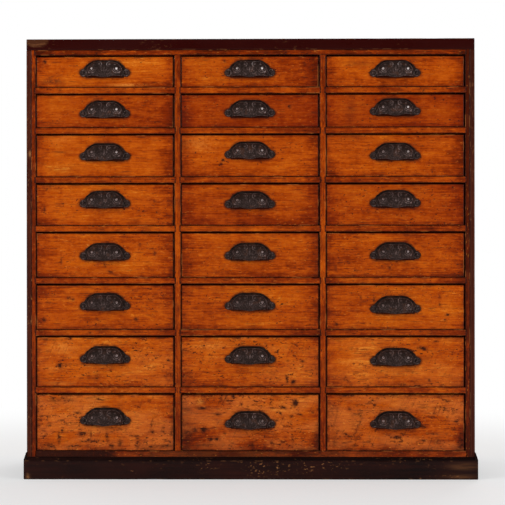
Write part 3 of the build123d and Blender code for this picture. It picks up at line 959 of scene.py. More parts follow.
print("uprights:", posts.total, "points")

# %% [markdown]
# ## Bottom board
# The front edge of the bottom board shows as the lowest rail. It is the dirtiest of them and darkest in its
# middle, and a painted shadow turns its left end black.

# %% Bottom board
# Where the painted shadow at the left end starts, and how far it takes to turn black.
SHADOW_STARTS, SHADOW_FADE = -262 * MM, 50 * MM
LIGHT_PLACES, LIGHT_THERE = np.array((-230, -60, 60, 250)) * MM, (-0.38, -0.55, -0.55, -0.24)


def left_end_shadow(points):
    """A painted shadow, black, along the left end of the bottom board's edge."""
    return 2 * np.clip((SHADOW_STARTS - points[:, 0]) / SHADOW_FADE, 0, 1)


def uneven_light(points):
    """The bottom board's look: darkest in the middle, lightest to the right."""
    light = np.interp(points[:, 0], LIGHT_PLACES, LIGHT_THERE)
    return np.outer(light, (1, 0, 0)) + np.array((0, 0, 0.55))


# The bottom board's stain is the painted shadow at its left end.
floor_board = Timber()
floor_board.add_board(*corners_of(loose_solids("bottom_board")[0]), ALONG_X, uneven_light, 160, stain=left_end_shadow,
                      radius=0.8 * MM, wear=1.0 * MM, steps=(20 * MM, 3 * MM, 20 * MM, 20 * MM),
                      step_along=4 * MM)
floor_board.make("bottom_board_worn", [shellac], "case", ["bottom_board"])
print("bottom board:", floor_board.total, "points")

# %% [markdown]
# ## Hidden timber
# Behind each rail a runner carries the drawer on either side, and stops halt it. Glue blocks and a rear rail
# hold the plinth. Nobody finished them, so they are plain sawn boards with few points. The back boards are
# lapped at both edges: the front half and the rear half of a board's thickness are moved to widths of their
# own.

# %% Runners, stops and glue blocks
# How light these boards are is drawn from the same random numbers as for the rails, and goes on from there.
for node in ("runners_and_stops", "plinth_backing"):
    hidden = Timber()
    for number, solid in enumerate(loose_solids(node)):
        low, high = corners_of(solid)
        look = (random.uniform(-0.2, 0.1), 0.0, 0.0)
        hidden.add_board(low, high, int(np.argmax(high - low)), look, 200 + number, radius=0.4 * MM,
                         wear=0.3 * MM, steps=(40 * MM,) * 4, step_along=60 * MM)
    hidden.make(node + "_sawn", [pine], "case", [node])
    print(node, number + 1, "boards")

# %% Back boards
back = Timber()
for number, solid in enumerate(loose_solids("back_boards")):
    low, high = corners_of(solid)
    rear = solid[0][solid[0][:, 1] > high[1] - 0.1 * MM, 0]
    front = solid[0][solid[0][:, 1] < low[1] + 0.1 * MM, 0]

    def lapped(points):
        """Both edges lapped: the rear half and the front half of the thickness each keep their own width."""
        is_rear = points[:, 1] > (low[1] + high[1]) / 2
        first = np.where(is_rear, rear.min(), front.min())
        last = np.where(is_rear, rear.max(), front.max())
        points[:, 0] = first + (points[:, 0] - low[0]) / (high[0] - low[0]) * (last - first)
        return points

    back.add_board(low, high, ALONG_Z, (random.uniform(-0.2, 0.12), 0.0, 0.0), 300 + number, radius=0.5 * MM,
                   wear=0.5 * MM, steps=(20 * MM, 3 * MM) * 2, step_along=20 * MM, shape=lapped)
back.make("back_boards_sawn", [pine], "case", ["back_boards"])
print("back boards:", number + 1)

# %% [markdown]
# ## Drawers
# A drawer's front is the one board that was chosen for its looks. The sides, lapped into it with dovetails,
# the back and the bottom are bare pine. Every front came from a different part of the tree and has had its
# own century, so each has its own lightness and redness, and the low ones are the most knocked about,
# by feet and boxes. The larger knots, smudges and rubbed places are put where they are, as on the case.

# %% What sets single drawers apart
# How much lighter a front is than most, how much darker one end is than the middle, and how much redder.
ROWS, COLUMNS = range(1, 9), ("left", "middle", "right")
LIGHTER = {"1_left": 0.07, "1_middle": -0.04, "2_left": -0.05, "2_middle": -0.10, "2_right": -0.06,
           "3_right": -0.04, "4_middle": -0.03, "4_right": -0.05, "5_middle": -0.05, "5_right": -0.09,
           "6_right": 0.05, "7_left": 0.12, "7_middle": 0.10, "7_right": 0.10, "8_left": 0.02,
           "8_middle": -0.06}
DARK_END = {"1_middle": 0.2, "2_left": 0.08, "2_right": 0.1, "3_left": 0.05, "3_right": 0.05, "4_right": 0.08,
            "7_middle": 0.06, "6_right": -0.08, "8_middle": -0.12}
REDDER = {"1_middle": 0.15, "2_left": 0.2, "2_middle": 0.40, "2_right": 0.35, "4_middle": 0.15, "4_right": 0.2}
USUAL_DARK_END = 0.02
print(len(set(LIGHTER) | set(DARK_END) | set(REDDER)), "drawers differ from the rest")

# %% Knots, smudges and rubbed places
# The strength of a mark is above zero where it is dark, and below zero where the front is rubbed pale.
DRAWER_MARKS = mark_table(
    (-412, 836, 3.2, 3.2, 1.6), (-398, 797, 22, 5, 0.75), (-400, 806, 12, 2.5, 0.5, 0.4),
    (-247, 789.5, 30, 1.8, -1), (-51, 838, 3, 3, 0.9), (109, 832, 2.6, 2.6, 1), (79, 746, 3, 3, 1.5),
    (-54, 639, 3.2, 3.2, 1.5), (-58, 631, 3, 3, 1.2), (-192, 453, 3.2, 3.2, 1.3), (-326, 468, 2.4, 2, -1.5),
    (-364, 363, 3.6, 3.6, 1.2), (-356, 361, 3.2, 3.2, 1.1), (-414, 319, 3.8, 3.8, 1.1),
    (-230, 321, 3.4, 3.4, 1.1), (-382, 228, 5.2, 4, 1.6), (-164, 238, 3.6, 2, 1.1), (-308, 206, 6, 9, 0.5),
    (-170, 206, 10, 2.4, 0.5), (-398, 280, 24, 1.4, 0.6), (-376, 264, 26, 10, -0.45),
    (-378, 192, 28, 2.4, -0.7), (-232, 182, 4, 2, 0.6), (104, 236, 4.8, 2.4, 1.2), (86, 195, 4.4, 3.8, 1.4),
    (73, 200, 2, 6, 1.1, 0.2), (30, 272, 3.2, 2.4, 0.6), (-122, 206, 10, 10, 0.35), (-76, 266, 32, 8, -0.45),
    (346, 262, 8.4, 3, 1.5, -0.3), (372, 276, 6, 1.6, 1), (304, 189, 9, 3.2, 0.8), (214, 260, 2.2, 2.2, 1),
    (202, 262, 4, 2.4, 0.8), (358, 198, 3, 4, 0.8), (188, 200, 8, 3, 0.5), (-392, 158, 14, 4, 0.7),
    (-364, 158, 12, 3.6, 0.7), (-304, 160, 9, 1.6, 1, -0.35), (-346, 132, 7, 2.2, 1.1),
    (-384, 82, 3.4, 12, 1.1), (-378, 96, 2.8, 2.6, 1), (-338, 90, 9, 4.8, 0.9), (-320, 90, 2.4, 6.8, 0.9),
    (-288, 84, 2.6, 12, 0.7), (-318, 76, 18, 2.6, 0.8), (-262, 72, 4.4, 8, 0.9), (-226, 70, 4, 8, 1),
    (-228, 86, 6, 2.2, 1.1), (-278, 66, 6, 4.4, 0.9), (-404, 68, 12, 5.2, 0.8),
    (-198, 110, 1.8, 14, 0.7, -0.2), (-176, 98, 3.2, 9, 0.7, -0.3), (-196, 94, 2.8, 3.6, 1),
    (-178, 66, 26, 3.6, 0.8), (-352, 66, 28, 3.2, 0.6), (-220, 150, 2, 12, 0.5, -0.3),
    (-96, 142, 8.4, 2.4, 1.3), (-102, 156, 8, 8, -0.6), (-58, 160, 2.8, 4, 0.9, -0.3),
    (-34, 166, 3.6, 3.2, 1.2), (-46, 158, 4.8, 2.8, 0.9), (-18, 150, 2.6, 3.8, 1), (-66, 130, 6.8, 2.8, 1),
    (-112, 98, 6, 6, 0.9), (-94, 98, 5.2, 6.4, 1.2, -0.4), (-80, 80, 4, 3.8, 1.2), (-66, 80, 4.6, 4, 1.2),
    (-52, 92, 3.2, 2, 1), (-126, 84, 10, 26, 0.6), (-92, 68, 32, 4, 0.6), (44, 142, 4, 2, 1.2),
    (66, 144, 6, 3, 1.2, -0.4), (90, 153, 4.6, 5.4, 1.7), (98, 130, 7.6, 2, 1.2, -0.25),
    (82, 126, 3.8, 2.6, 1.1), (60, 132, 1.8, 5.6, 1, 0.5), (54, 118, 3, 2, 1.1), (124, 134, 3.2, 2, 1),
    (44, 72, 6, 5.2, 0.9), (4, 68, 4, 8, 0.8), (84, 80, 1.8, 14, 0.6), (132, 80, 8, 20, 0.55),
    (198, 167, 11, 2.4, 1.1), (244, 158, 3.2, 2.4, 1.1), (248, 148, 4, 2.4, 1.3, 0.7),
    (198, 140, 4, 2.8, 0.8), (220, 128, 3.2, 3.6, 1.1), (218, 112, 1.8, 14, 0.9, -0.5),
    (208, 90, 1.6, 14, 0.9, -0.6), (192, 90, 8, 2.4, 1, -0.4), (292, 84, 6.4, 2.8, 1.7),
    (346, 104, 6, 2.8, 0.8), (346, 78, 4, 2.8, 0.9), (366, 92, 12, 1.8, 0.6), (412, 116, 4, 2.4, 1.1),
    (408, 100, 8, 2.2, 0.8), (420, 76, 6.8, 20, 0.7), (394, 156, 6, 2.2, 0.8), (324, 150, 2.8, 2, 0.8),
    (374, 78, 12, 3.2, 0.6), (368, 136, 1.4, 12, 0.7, -0.4), (378, 138, 1.4, 12, 0.7, -0.4),
    (388, 142, 1.4, 12, 0.6, -0.4), (208, 68, 6, 3, 0.9), (168, 76, 6, 18, 0.5),
    (170, 120, 1.8, 28, 0.5, -0.25), (-102, 672, 28, 14, -0.35), (-396, 686, 20, 5, 0.4),
    (-402, 586, 20, 6, 0.4), (218, 832, 36, 6, 0.35), (212, 684, 28, 6, 0.35), (200, 736, 10, 28, 0.3),
    (-130, 730, 10, 24, 0.3), (-378, 656, 20, 4, 0.25), (-413, 541, 1.6, 6, 1.1), (-191, 557, 3, 3, 0.9),
    (-379, 437, 1.6, 8, 0.8), (-292, 429, 2.4, 5, 0.8, 0.2), (-280, 415, 6, 2.4, 1, -0.4),
    (-222, 471, 2, 4, 0.7), (278, 423, 3, 4, 0.8), (171, 422, 2, 6, 0.7), (394, 329, 4.4, 2.4, 1.5),
    (389, 319, 2.6, 2, 1.1), (379, 350, 1.8, 4, 0.9), (379, 365, 1.6, 5, 0.8), (173, 310, 3, 3, 1),
    (221, 363, 1.8, 5, 0.8), (247, 361, 1.8, 6, 0.8), (257, 318, 2.6, 2, 0.8), (-384, 684, 26, 7, -0.4),
    (-376, 622, 34, 8, 0.25),
)


def marks_at(points):
    """For each point, the dark marks' strongest hold less the pale ones'."""
    hold = held(points, DRAWER_MARKS)
    return hold.max(1) + hold.min(1)


print(len(DRAWER_MARKS), "marks on the drawers")

# %% The outline of a pull, in millimetres
# Grime and a painted shade gather round a pull, so the drawers need its outline. The cup's spine lies
# AXIS_BACK behind the face of the drawer and AXIS_UP over the foot of the pull, and runs SPINE_HALF to either
# side.
AXIS_BACK, AXIS_UP, SPINE_HALF = 1.4, 9.4, 14.2
OUTER_RADIUS, INNER_RADIUS = 22.6, 20.6
PLATE_RIM, PLATE_THICKNESS, FOOT_HEIGHT = 2.9, 2.2, 3.0
EAR_X, EAR_Z, EAR_RADIUS = 43.2, 9.2, 7.1


def from_outline(x, z):
    """How far a place is from the outline: from the arch or from an ear, whichever is nearer."""
    x = np.abs(x)
    from_arch = np.hypot(np.maximum(x - SPINE_HALF, 0), z - AXIS_UP) - OUTER_RADIUS - PLATE_RIM
    from_ear = np.hypot(x - EAR_X, z - EAR_Z) - EAR_RADIUS
    return np.maximum(np.minimum(np.maximum(from_arch, -z), from_ear), 0)


print("a pull is", round(2 * (EAR_X + EAR_RADIUS), 1), "mm over its ears")


# %% Dents and shade of a front
def give(points, row, seed):
    """How far the front gives way: long waves, and a dent where a short ripple is high. Low rows are dented
    more deeply."""
    hollow = 0.12 * MM * (1 + ripple(points, 180 * MM, seed))
    dents = 0.7 * MM * np.clip(ripple(points, 22 * MM, seed + 1, 12) - 0.95, 0, 1) * (0.3 + row / 10)
    return np.clip(hollow + dents, 0, 1 * MM)


def shade_over(points, low, high, row, dark_end):
    """How much darker than its middle a front is: steadily towards one end, and by a bell curve near its ends
    and its foot. The lowest two rows are also paler higher up."""
    is_low, is_high = row >= 7, row <= 4
    middle = (low + high) / 2
    across, up = ((points[:, axis] - middle[axis]) / (high[axis] - low[axis]) for axis in (0, 2))
    from_end = np.minimum(points[:, 0] - low[0], high[0] - points[:, 0])
    at_ends = (0.23 if is_high else 0.18) * bell(from_end, 21 * MM)
    at_foot = 0.13 * bell(points[:, 2] - low[2], (16 if is_low else 9) * MM)
    return 2 * dark_end * across - (0.12 if is_low else 0.0) * up + (at_ends + at_foot)


# %% One drawer
# A front is made this much shorter at either end than the CAD board, so that a dark gap shows beside it.
GAP_AT_END = 0.25 * MM
BARE, VARNISHED = 1, 0


def make_drawer(row, column):
    """A worn front, and copies of the CAD solids behind it. Returns the drawer's timber."""
    name = f"{row}_{column}"
    seed = 400 + row * 10 + COLUMNS.index(column)
    random = np.random.default_rng(seed)
    front, *others = sorted(loose_solids(f"drawer_{name}"), key=lambda solid: solid[0][:, 1].min())
    low, high = corners_of(front)
    pull_low, pull_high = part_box(f"cup_pull_{name}")
    pull_middle = (pull_low[0] + pull_high[0]) / 2
    light = 0.03 + random.uniform(-0.03, 0.03) + LIGHTER.get(name, 0)
    knocked = 0.12 + 0.66 * (max(0, row - 2) / 6) ** 2

    def from_pull(points):
        """The distance to the pull's outline, in metres."""
        return from_outline((points[:, 0] - pull_middle) / MM, (points[:, 2] - pull_low[2]) / MM) * MM

    def dented(points):
        """The front face moved in where it gives way."""
        is_front = points[:, 1] < low[1] + 0.4 * MM
        points[:, 1] += is_front * give(points, row, seed)
        return points

    def front_look(points):
        """The drawer's own look, less its shade."""
        darker = shade_over(points, low, high, row, DARK_END.get(name, USUAL_DARK_END))
        return np.array((light, REDDER.get(name, 0.0), knocked)) - np.outer(darker, (1, 0, 0))

    def bare_behind(centres):
        """Shellac in front and on the edges, bare pine on the side that faces the inside of the drawer."""
        return np.where(centres[:, 1] > high[1] - 0.5 * MM, BARE, VARNISHED)

    box = Timber()
    inset = np.array([GAP_AT_END, 0, 0])
    box.add_board(low + inset, high - inset, ALONG_X, front_look, seed, radius=0.8 * MM, wear=1.1 * MM,
                  steps=(9 * MM, 2.5 * MM, 9 * MM, 20 * MM), step_along=2.5 * MM, shape=dented,
                  finish=bare_behind, stain=marks_at, halo=from_pull)
    for number, solid in enumerate(others, start=1):
        along = ALONG_X if np.ptp(solid[0][:, 0]) > 100 * MM else ALONG_Y
        look = (random.uniform(-0.1, 0.15), 0.0, 0.0)
        box.add_copy(solid, along, look, seed + 1000 * number, finish=BARE)
    box.make(f"drawer_{name}_worn", [shellac, pine], f"drawer_{name}_body", [f"drawer_{name}"],
             bevel=SOFT_EDGE)
    return box


# %% All the drawers
drawers = [make_drawer(row, column) for row in ROWS for column in COLUMNS]
print(len(drawers), "drawers,", sum(box.total for box in drawers), "points")

# %% [markdown]
# ## Cup pulls
# Each pull was poured in one go: a cup for the fingers, a thin plate round it that widens to an ear with a
# screw at each end, and a shallow relief of scrolls, a leaf and two bosses. The cup is a round bar with ball
# ends that stands half out of the drawer. So a point on it is found from its place on the face: its distance
# from the bar's spine gives how far it stands out. Lines run from the lip up to the outline of the arch, and
# round each line goes a ring: over the cup, across the plate, behind it, and back inside to the lip.

# %% The arch
# SHARES are the places of the lines, from the right foot to the left one, and lie closer near the feet.
SHARES = np.concatenate([np.linspace(0, 0.14, 25), np.linspace(0.14, 0.86, 81)[1:-1], np.linspace(0.86, 1, 25)])
SHOULDER_BULGE, SHOULDER_ANGLE, SHOULDER_SPREAD = 0.1, 0.45, 0.28
LIP_HALF = 22.0


def radius_at(radius, depth):
    """The distance from the spine, seen from in front, at which a cup of this radius meets a plane that lies
    this far in front of the drawer's face."""
    return np.sqrt(radius**2 - (AXIS_BACK + depth) ** 2)


def from_spine(flat):
    """The nearest place on the spine to each place on the face, and the way from there to it."""
    spine = np.stack([np.clip(flat[..., 0], -SPINE_HALF, SPINE_HALF), np.full(flat.shape[:-1], AXIS_UP)], -1)
    return spine, flat - spine


def bulge(direction):
    """How much wider than a circle the arch is in a direction: by a tenth at its shoulders."""
    angle = np.arctan2(direction[..., 1], np.abs(direction[..., 0]))
    return 1 + SHOULDER_BULGE * bell(angle - SHOULDER_ANGLE, SHOULDER_SPREAD)


def arch(radius):
    """Where each line's end on the arch is measured from, and the direction away from the spine there: up a
    quarter circle and a bit, straight across, and down again."""
    foot = np.arcsin((FOOT_HEIGHT - AXIS_UP) / radius)
    quarter, straight = radius * (pi / 2 - foot), 2 * SPINE_HALF
    travel = SHARES * (2 * quarter + straight)
    angle = foot + (np.minimum(travel, quarter) + np.maximum(travel - quarter - straight, 0)) / radius
    middle = SPINE_HALF - np.clip(travel - quarter, 0, straight)
    return np.stack([middle, np.full_like(middle, AXIS_UP)], -1), np.stack([np.cos(angle), np.sin(angle)], -1)


def lip_height(x):
    """The lip hangs down in the middle and rises to either side: one wave of a cosine."""
    return FOOT_HEIGHT * (1 - np.cos(np.clip(np.abs(x) / LIP_HALF, 0, 1) * pi)) / 2


print("the cup's foot is", round(radius_at(OUTER_RADIUS, 0), 2), "mm from the spine")


# %% The skin of the cup
def cup_skin(rise, radius, depth):
    """The points of the cup, and their outward directions. rise goes from 0 at the lip to 1 where the cup
    meets the plane at this depth, as the sine of an even angle, because the cup is steepest there. A point
    stands out as far as a circle of this radius does at its distance from the spine."""
    reach = radius_at(radius, depth)
    spine, away = (part[:, None] for part in arch(reach))
    top = spine + reach * away
    lip_x = top[:1, :1, 0] * np.cos(SHARES[:, None] * pi)
    lip = np.stack([lip_x, lip_height(lip_x)], -1)
    flat = lip + (top - lip) * np.sin(rise * pi / 2)[None, :, None]
    spine, off = from_spine(flat)
    forward = np.sqrt(np.maximum(radius**2 - (off**2).sum(-1), 0))
    flat = spine + off * bulge(off)[..., None]
    points = np.stack([flat[..., 0], AXIS_BACK - forward, flat[..., 1]], -1)
    return points, np.stack([off[..., 0], -forward, off[..., 1]], -1) / radius


# %% [markdown]
# ## Ornament
# The relief is a height over the cup. It could be sculpted, but formulas keep it even on both halves, and
# every piece of it is a ridge: a bell curve of the distance from a circle, a line or a row of rays. A ridge
# that is only part of a circle is cut off by how far round it a point is.

# %% Ornament
BOSS_X, BOSS_Z = 24.6, 16.6
SCROLL_X, SCROLL_Z = 10.0, 25.4


def polar(x, z, middle_x, middle_z):
    """How far a place is from a middle, and in which direction."""
    return np.hypot(x - middle_x, z - middle_z), np.arctan2(z - middle_z, x - middle_x)


def relief_of(points):
    """How far the ornament stands out of the cup, in millimetres: a boss with a ring and a volute round it, a
    scroll, rays, an arm and a leaf with ribs above, a shell below, and a bead along the arch. Each ridge
    starts with its height. The last number in a bell is half its width, and the last clip says where it is."""
    x, z = np.abs(points[..., 0]), points[..., 2]
    off = np.hypot(np.maximum(x - SPINE_HALF, 0), z - AXIS_UP) / OUTER_RADIUS
    boss_reach, boss_turn = polar(x, z, BOSS_X, BOSS_Z)
    ring = 0.65 * bell(boss_reach - 5.4, 0.8) * np.clip(0.45 + np.cos(boss_turn + 2.1), 0, 1)
    boss = 1.4 * np.sqrt(np.clip(1 - (boss_reach / 2.8) ** 2, 0, 1)) + ring
    volute = 0.5 * bell(boss_reach - 8.6, 0.9) * np.clip(0.6 - np.sin(boss_turn - 0.3), 0, 1)
    scroll_reach, scroll_turn = polar(x, z, SCROLL_X, SCROLL_Z)
    scroll = 0.8 * bell(scroll_reach - 5.0, 0.9) * np.clip(0.3 - np.cos(scroll_turn + 0.5), 0, 1)
    scroll = scroll + 0.6 * bell(scroll_reach - 1.6, 0.8)
    rays = 0.5 * np.abs(np.sin(np.arctan2(x, z - 2.0) * 15)) ** 2
    rays = rays * bell(off - 0.74, 0.09) * np.clip((x - 15) / 6, 0, 1)
    arm = 0.25 * bell(np.hypot(x - 6.0, z - 13.0) - 8.0, 0.8) * np.clip((x - 4.0) / 3, 0, 1)
    leaf_turn, leaf_reach = np.arctan2(x, z - 3.0), np.hypot(x, z - 3.0)
    leaf = 0.15 * bell(x, 0.9) * np.clip((z - 7) / 4, 0, 1)
    ribs = 0.4 * np.abs(np.cos(leaf_turn * 8)) * bell(leaf_reach - 12, 6) * np.clip(1.3 - leaf_turn, 0, 1)
    shell = 0.22 * np.abs(np.sin(np.arctan2(x, z + 12) * 16)) * bell(z - 5, 3.0) * np.clip((26 - x) / 8, 0, 1)
    bead = 0.45 * bell(off - 0.93, 0.022) - 0.25 * bell(off - 0.87, 0.02)
    lip = 0.2 * bell(z - lip_height(x), 1.1)
    away_from_boss = np.clip((boss_reach - 4) / 4, 0, 1)
    ground = volute + scroll + arm + leaf + ribs + shell + rays
    inside = np.clip((0.97 - off) / 0.1, 0, 1)
    return (boss + away_from_boss * ground) * inside + bead + lip


# %% [markdown]
# ## Plate and ears
# The plate is a thin rim round the arch that widens at each foot to a round ear, with a soft corner between
# the two. Its outline is where the soft union of two shapes ends, so no arc has to be fitted to another.

# %% Plate and ears
# The edge is four rings: how far in from the outline each one is, and how far in front the last three are.
FILLET, FURTHEST = 8.0, 45.0
HALVINGS = 40
SHARES_OF_RIM = np.array([0.06, 0.2, 0.4, 0.6, 0.8])
EDGE_IN, EDGE_FRONT = np.array([0.5, 0.15, 0, 0]), (1.95, 1.6, 0.0)
RIDGE_REACH, RIDGE_WIDTH, RIDGE_HEIGHT, RIDGE_RUBBED = 5.8, 0.8, 0.35, 0.5


def plate_reach(spine, away):
    """How far the plate reaches from the spine along each line: out to where a soft union of two outlines
    ends. One is the arch, a rim's width out, and the other a disc. The union's distance is the smaller of
    the two, less a bit where they are nearly alike, which fills the corner. Halving finds its zero."""
    disc = np.stack([EAR_X * np.sign(0.5 - SHARES), np.full_like(SHARES, EAR_Z)], -1)
    arch_reach = radius_at(OUTER_RADIUS, 0) * bulge(away) + PLATE_RIM
    near, far = arch_reach - 1, np.full_like(SHARES, FURTHEST)
    for _ in range(HALVINGS):
        middle = (near + far) / 2
        from_arch = middle - arch_reach
        from_disc = np.linalg.norm(spine + middle[:, None] * away - disc, axis=1) - EAR_RADIUS
        alike = np.clip(1 - np.abs(from_arch - from_disc) / FILLET, 0, 1)
        outside = np.minimum(from_arch, from_disc) - alike**2 * FILLET / 4 > 0
        near, far = np.where(outside, near, middle), np.where(outside, middle, far)
    return near


def plate_surface():
    """The plate's rings: from the cup's foot out to the edge, rounded over, and down to the drawer. An ear
    rises a little towards its edge and round its screw."""
    spine, away = arch(radius_at(OUTER_RADIUS, 0))
    reach = plate_reach(spine, away)[:, None]
    start = (radius_at(OUTER_RADIUS, PLATE_THICKNESS) * bulge(away))[:, None]
    out = np.concatenate([start + (reach - EDGE_IN[0] - start) * SHARES_OF_RIM, reach - EDGE_IN], 1)
    flat_rings = len(SHARES_OF_RIM) + 1
    back = -np.tile([PLATE_THICKNESS] * flat_rings + list(EDGE_FRONT), (len(out), 1))
    flat = spine[:, None] + out[..., None] * away[:, None]
    from_screw = np.hypot(np.abs(flat[..., 0]) - EAR_X, flat[..., 1] - EAR_Z)
    ridge = RIDGE_HEIGHT * bell(from_screw - RIDGE_REACH, RIDGE_WIDTH)
    back[:, :flat_rings] -= ridge[:, :flat_rings]
    return np.stack([flat[..., 0], back, flat[..., 1]], -1), ridge / RIDGE_RUBBED


print("the plate has", plate_surface()[0].shape[1], "rings")

# %% [markdown]
# ## The castings in place
# All 24 came from one mould, so they share their shape, and differ in the grit of the sand. The right half of
# each is rubbed a little more than the left, and the upper rows more than the lower ones. With the rub goes a
# painted highlight, brighter on the right half and on the upper rows, as if lit from above and to the right.
# Grime and a painted shade sit on the plate above the cup.

# %% The whole casting
# Relief of RUBBED_HEIGHT or more is rubbed all over, and on the left half by LEFT_SHARE of that, which also
# leaves the left half a weaker painted highlight. No relief goes past the first three, in millimetres. The last
# number is how far round the arch, from its top, grime and a painted shade lie on the plate.
DEEPEST, HIGHEST, FRONTMOST = -0.3, 1.6, 21.98
RUBBED_HEIGHT, LEFT_SHARE, LIP_RAISED = 0.8, 0.82, 0.4
PLATE_GRIME_AND_SHADE, GRIME_AND_SHADE_SHARE = 0.9, 0.34


def cup_surface(seed):
    """The rings of the whole casting, and for each point how far it is raised, and how far it has grime and a
    painted shade, from 0 to 1.
    """
    inner, _ = cup_skin(np.linspace(1, 0, 13), INNER_RADIUS, 0)
    outer, outward = cup_skin(np.linspace(0, 1, 49), OUTER_RADIUS, PLATE_THICKNESS)
    relief = relief_of(outer)
    grit = 0.07 * ripple(outer, 2.6, seed, 14)
    outer = outer + outward * np.clip(relief + grit, DEEPEST, HIGHEST)[..., None]
    outer[..., 1] = np.clip(outer[..., 1], -FRONTMOST, -PLATE_THICKNESS)
    turn = np.linspace(0, pi, 6)[None, 1:-1, None]
    lip = inner[:, -1:] + (outer[:, :1] - inner[:, -1:]) * (1 - np.cos(turn)) / 2
    lip = lip - np.array([0, 0, 0.5]) * np.sin(turn)
    plate, ridge = plate_surface()
    points = np.concatenate([inner, lip, outer, plate], 1)
    # The left half is rubbed less than the right, and so carries a weaker painted highlight.
    rubbed = np.minimum(relief / RUBBED_HEIGHT, 1) * np.where(outer[..., 0] > 0, 1, LEFT_SHARE)
    raised = np.concatenate([np.zeros(inner.shape[:2]), np.full(lip.shape[:2], LIP_RAISED), rubbed, ridge], 1)
    # Grime and a painted shade on the plate above the cup, round the top of the arch.
    grime = np.zeros(points.shape[:2])
    grime[np.abs(SHARES - 0.5) < GRIME_AND_SHADE_SHARE, -plate.shape[1]:] = PLATE_GRIME_AND_SHADE
    return points, np.clip(raised, 0, 1), grime


# %% The pulls in place
PLAIN_LOOK = (0.0, 0.0, 0.0)
# How much each row's raised places are scaled, and the usual scale: upper rows are rubbed more and carry a
# brighter painted highlight, as if lit from above.
ROW_RUB_AND_HIGHLIGHT, USUAL_RUB_AND_HIGHLIGHT = {1: 1.15, 2: 1.02, 3: 0.93, 4: 0.89}, 0.86
SCREW_POLISH = 0.25


def closed_mesh(piece):
    """Merge points at one place, fill the ends and turn every face outwards."""
    work = bmesh.new()
    work.from_mesh(piece.data)
    bmesh.ops.remove_doubles(work, verts=work.verts, dist=0.01 * MM)
    bmesh.ops.holes_fill(work, edges=[edge for edge in work.edges if edge.is_boundary], sides=0)
    bmesh.ops.recalc_face_normals(work, faces=work.faces)
    work.to_mesh(piece.data)
    work.free()


def make_pull(row, column):
    """A casting and its two screws, which are the narrowest solids of the node, on the face of their drawer."""
    name = f"{row}_{column}"
    seed = 700 + row * 10 + COLUMNS.index(column)
    low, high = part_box(f"cup_pull_{name}")
    face_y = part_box(f"drawer_{name}")[0][1]
    origin = np.array([(low[0] + high[0]) / 2, face_y, low[2]])
    points, raised, grime = cup_surface(seed)
    # Upper rows get more rub and a brighter painted highlight.
    raised = raised.ravel() * ROW_RUB_AND_HIGHLIGHT.get(row, USUAL_RUB_AND_HIGHLIGHT)
    pull = Timber()
    pull.add(points.reshape(-1, 3) * MM + origin, [grid_faces(*points.shape[:2])], ALONG_X, PLAIN_LOOK, seed,
             raised=raised, stain=grime.ravel())
    solids = sorted(loose_solids(f"cup_pull_{name}"), key=lambda solid: np.ptp(solid[0][:, 0]))
    for screw in solids[:2]:
        pull.add_copy(screw, ALONG_X, PLAIN_LOOK, seed + 2, raised=SCREW_POLISH)
    piece = pull.make(f"cup_pull_{name}_cast", [iron], f"drawer_{name}_body", [f"cup_pull_{name}"])
    closed_mesh(piece)
    return piece


pulls = [make_pull(row, column) for row in ROWS for column in COLUMNS]
print(len(pulls), "pulls,", len(pulls[0].data.polygons), "faces each")

# %% [markdown]
# ## Nails
# The nails in the back keep their CAD shape, and only get a finish: dull, darkened steel.

# %% Nails
STEEL, NAIL_RUST = (96, 90, 84), (84, 52, 34)


def nail_steel():
    """Steel with rust where a noise is high, which is rougher and less like metal."""
    material, shader, start = new_material("nail_steel")
    place = start.node("ShaderNodeTexCoord", {}, {}, "Object")
    rust = place.stretch((700, 700, 700)).noise(3, 0.6).between(0.4, 0.65)
    connect(shader, colour=rust.paint(STEEL, NAIL_RUST), roughness=0.45 + rust * 0.3, metal=0.8 - rust * 0.6)
    return material


nails = frame["nodes"]["back_nails"]
nails.data.materials.clear()
nails.data.materials.append(nail_steel())
print("nails:", len(loose_solids("back_nails")))

# %% [markdown]
# ## Studio
# The camera sees a white surround and a pale floor. What is glossy sees the same white behind the cabinet, and
# a dim room in front of it, because there the photographer stood. Soft light comes from all round and from two
# broad lamps in front, and is set so that a colour renders about as it is written.

# %% Floor
FLOOR_GREY, FLOOR_ROUGHNESS = 0.88, 0.9
FLOOR_REACH = 30.0


def pale_floor():
    """White far off, for the camera alone, so that no horizon shows. Near the cabinet it is matt and pale."""
    material, shader, start = new_material("pale_floor", shine=0.0)
    shader.inputs["Base Color"].default_value = (FLOOR_GREY, FLOOR_GREY, FLOOR_GREY, 1)
    shader.inputs["Roughness"].default_value = FLOOR_ROUGHNESS
    place = start.node("ShaderNodeTexCoord", {}, {}, "Object")
    distance = place.node("ShaderNodeVectorMath", {"operation": "LENGTH"}, {0: place}, "Value")
    camera_ray = start.node("ShaderNodeLightPath", {}, {}, "Is Camera Ray")
    white = start.node("ShaderNodeEmission", {}, {"Color": (1, 1, 1, 1), "Strength": 1.0})
    factor = camera_ray * (0.4 + distance.between(0.7, 1.8) * 0.6)
    ground = Wire(start.tree, shader.outputs[0])
    surface = start.node("ShaderNodeMixShader", {}, {0: factor, 1: ground, 2: white})
    start.tree.links.new(surface.socket, start.tree.nodes["Material Output"].inputs["Surface"])
    return material


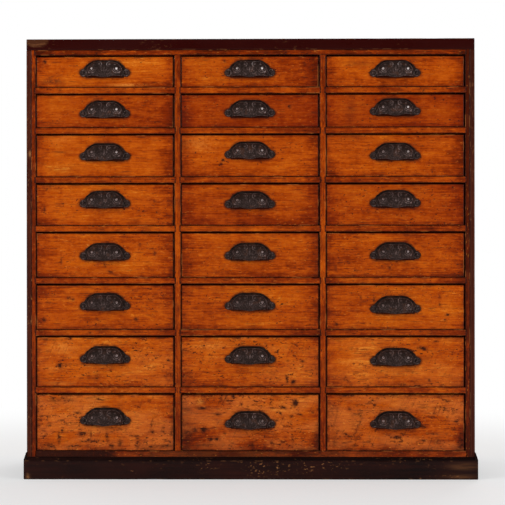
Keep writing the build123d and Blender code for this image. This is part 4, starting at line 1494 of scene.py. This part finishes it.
corners = [(x * FLOOR_REACH, y * FLOOR_REACH, 0) for x, y in ((-1, -1), (1, -1), (1, 1), (-1, 1))]
floor_mesh = bpy.data.meshes.new("floor")
floor_mesh.from_pydata(corners, [], [(0, 1, 2, 3)])
floor_mesh.materials.append(pale_floor())
floor = bpy.data.objects.new("floor", floor_mesh)
bpy.context.scene.collection.objects.link(floor)
print("floor:", 2 * FLOOR_REACH, "m wide")

# %% Surround
SOFT_LIGHT, DIM_ROOM = 0.53, 0.015
world = bpy.data.worlds.new("surround")
bpy.context.scene.world = world
world.use_nodes = True
around = Wire(world.node_tree)
kinds = ("Camera", "Glossy", "Transmission")
camera_ray, glossy_ray, clear_ray = (
    around.node("ShaderNodeLightPath", {}, {}, f"Is {kind} Ray") for kind in kinds
)
direction = around.node("ShaderNodeTexCoord", {}, {}, "Generated")
behind = direction.part("Y").between(-0.1, 0.45)
mirrored = glossy_ray.most(clear_ray)
strength = mirrored * (DIM_ROOM + behind * (1 - DIM_ROOM)) + (1 - mirrored) * SOFT_LIGHT
strength = strength * (1 - camera_ray) + camera_ray
background = world.node_tree.nodes["Background"]
background.inputs["Color"].default_value = (1, 1, 1, 1)
world.node_tree.links.new(strength.socket, background.inputs["Strength"])
print("surround:", len(world.node_tree.nodes), "nodes")


# %% Lamps
def lamp(name, place, target, size, power):
    """A square soft box that faces a point."""
    light = bpy.data.lights.new(name, "AREA")
    light.shape, light.size, light.energy = "SQUARE", size, power
    box = bpy.data.objects.new(name, light)
    box.location = place
    box.rotation_euler = (Vector(target) - Vector(place)).to_track_quat("-Z", "Y").to_euler()
    bpy.context.scene.collection.objects.link(box)
    print("lamp:", name, power, "W")


MIDDLE = (0, 0, 0.45)
lamp("key", (-3.2, -3.0, 1.5), MIDDLE, 1.2, 80)
lamp("fill", (3.4, -3.1, 1.2), MIDDLE, 1.2, 66)
lamp("back", (0.6, 3.2, 2.4), MIDDLE, 2.0, 60)

# %% Settings and sizes
bpy.context.scene.view_settings.view_transform = "Standard"
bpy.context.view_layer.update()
triangles = sum(len(o.data.polygons) * 2 for o in bpy.data.objects if o.type == "MESH" and not o.hide_render)
print("about", triangles, "triangles")
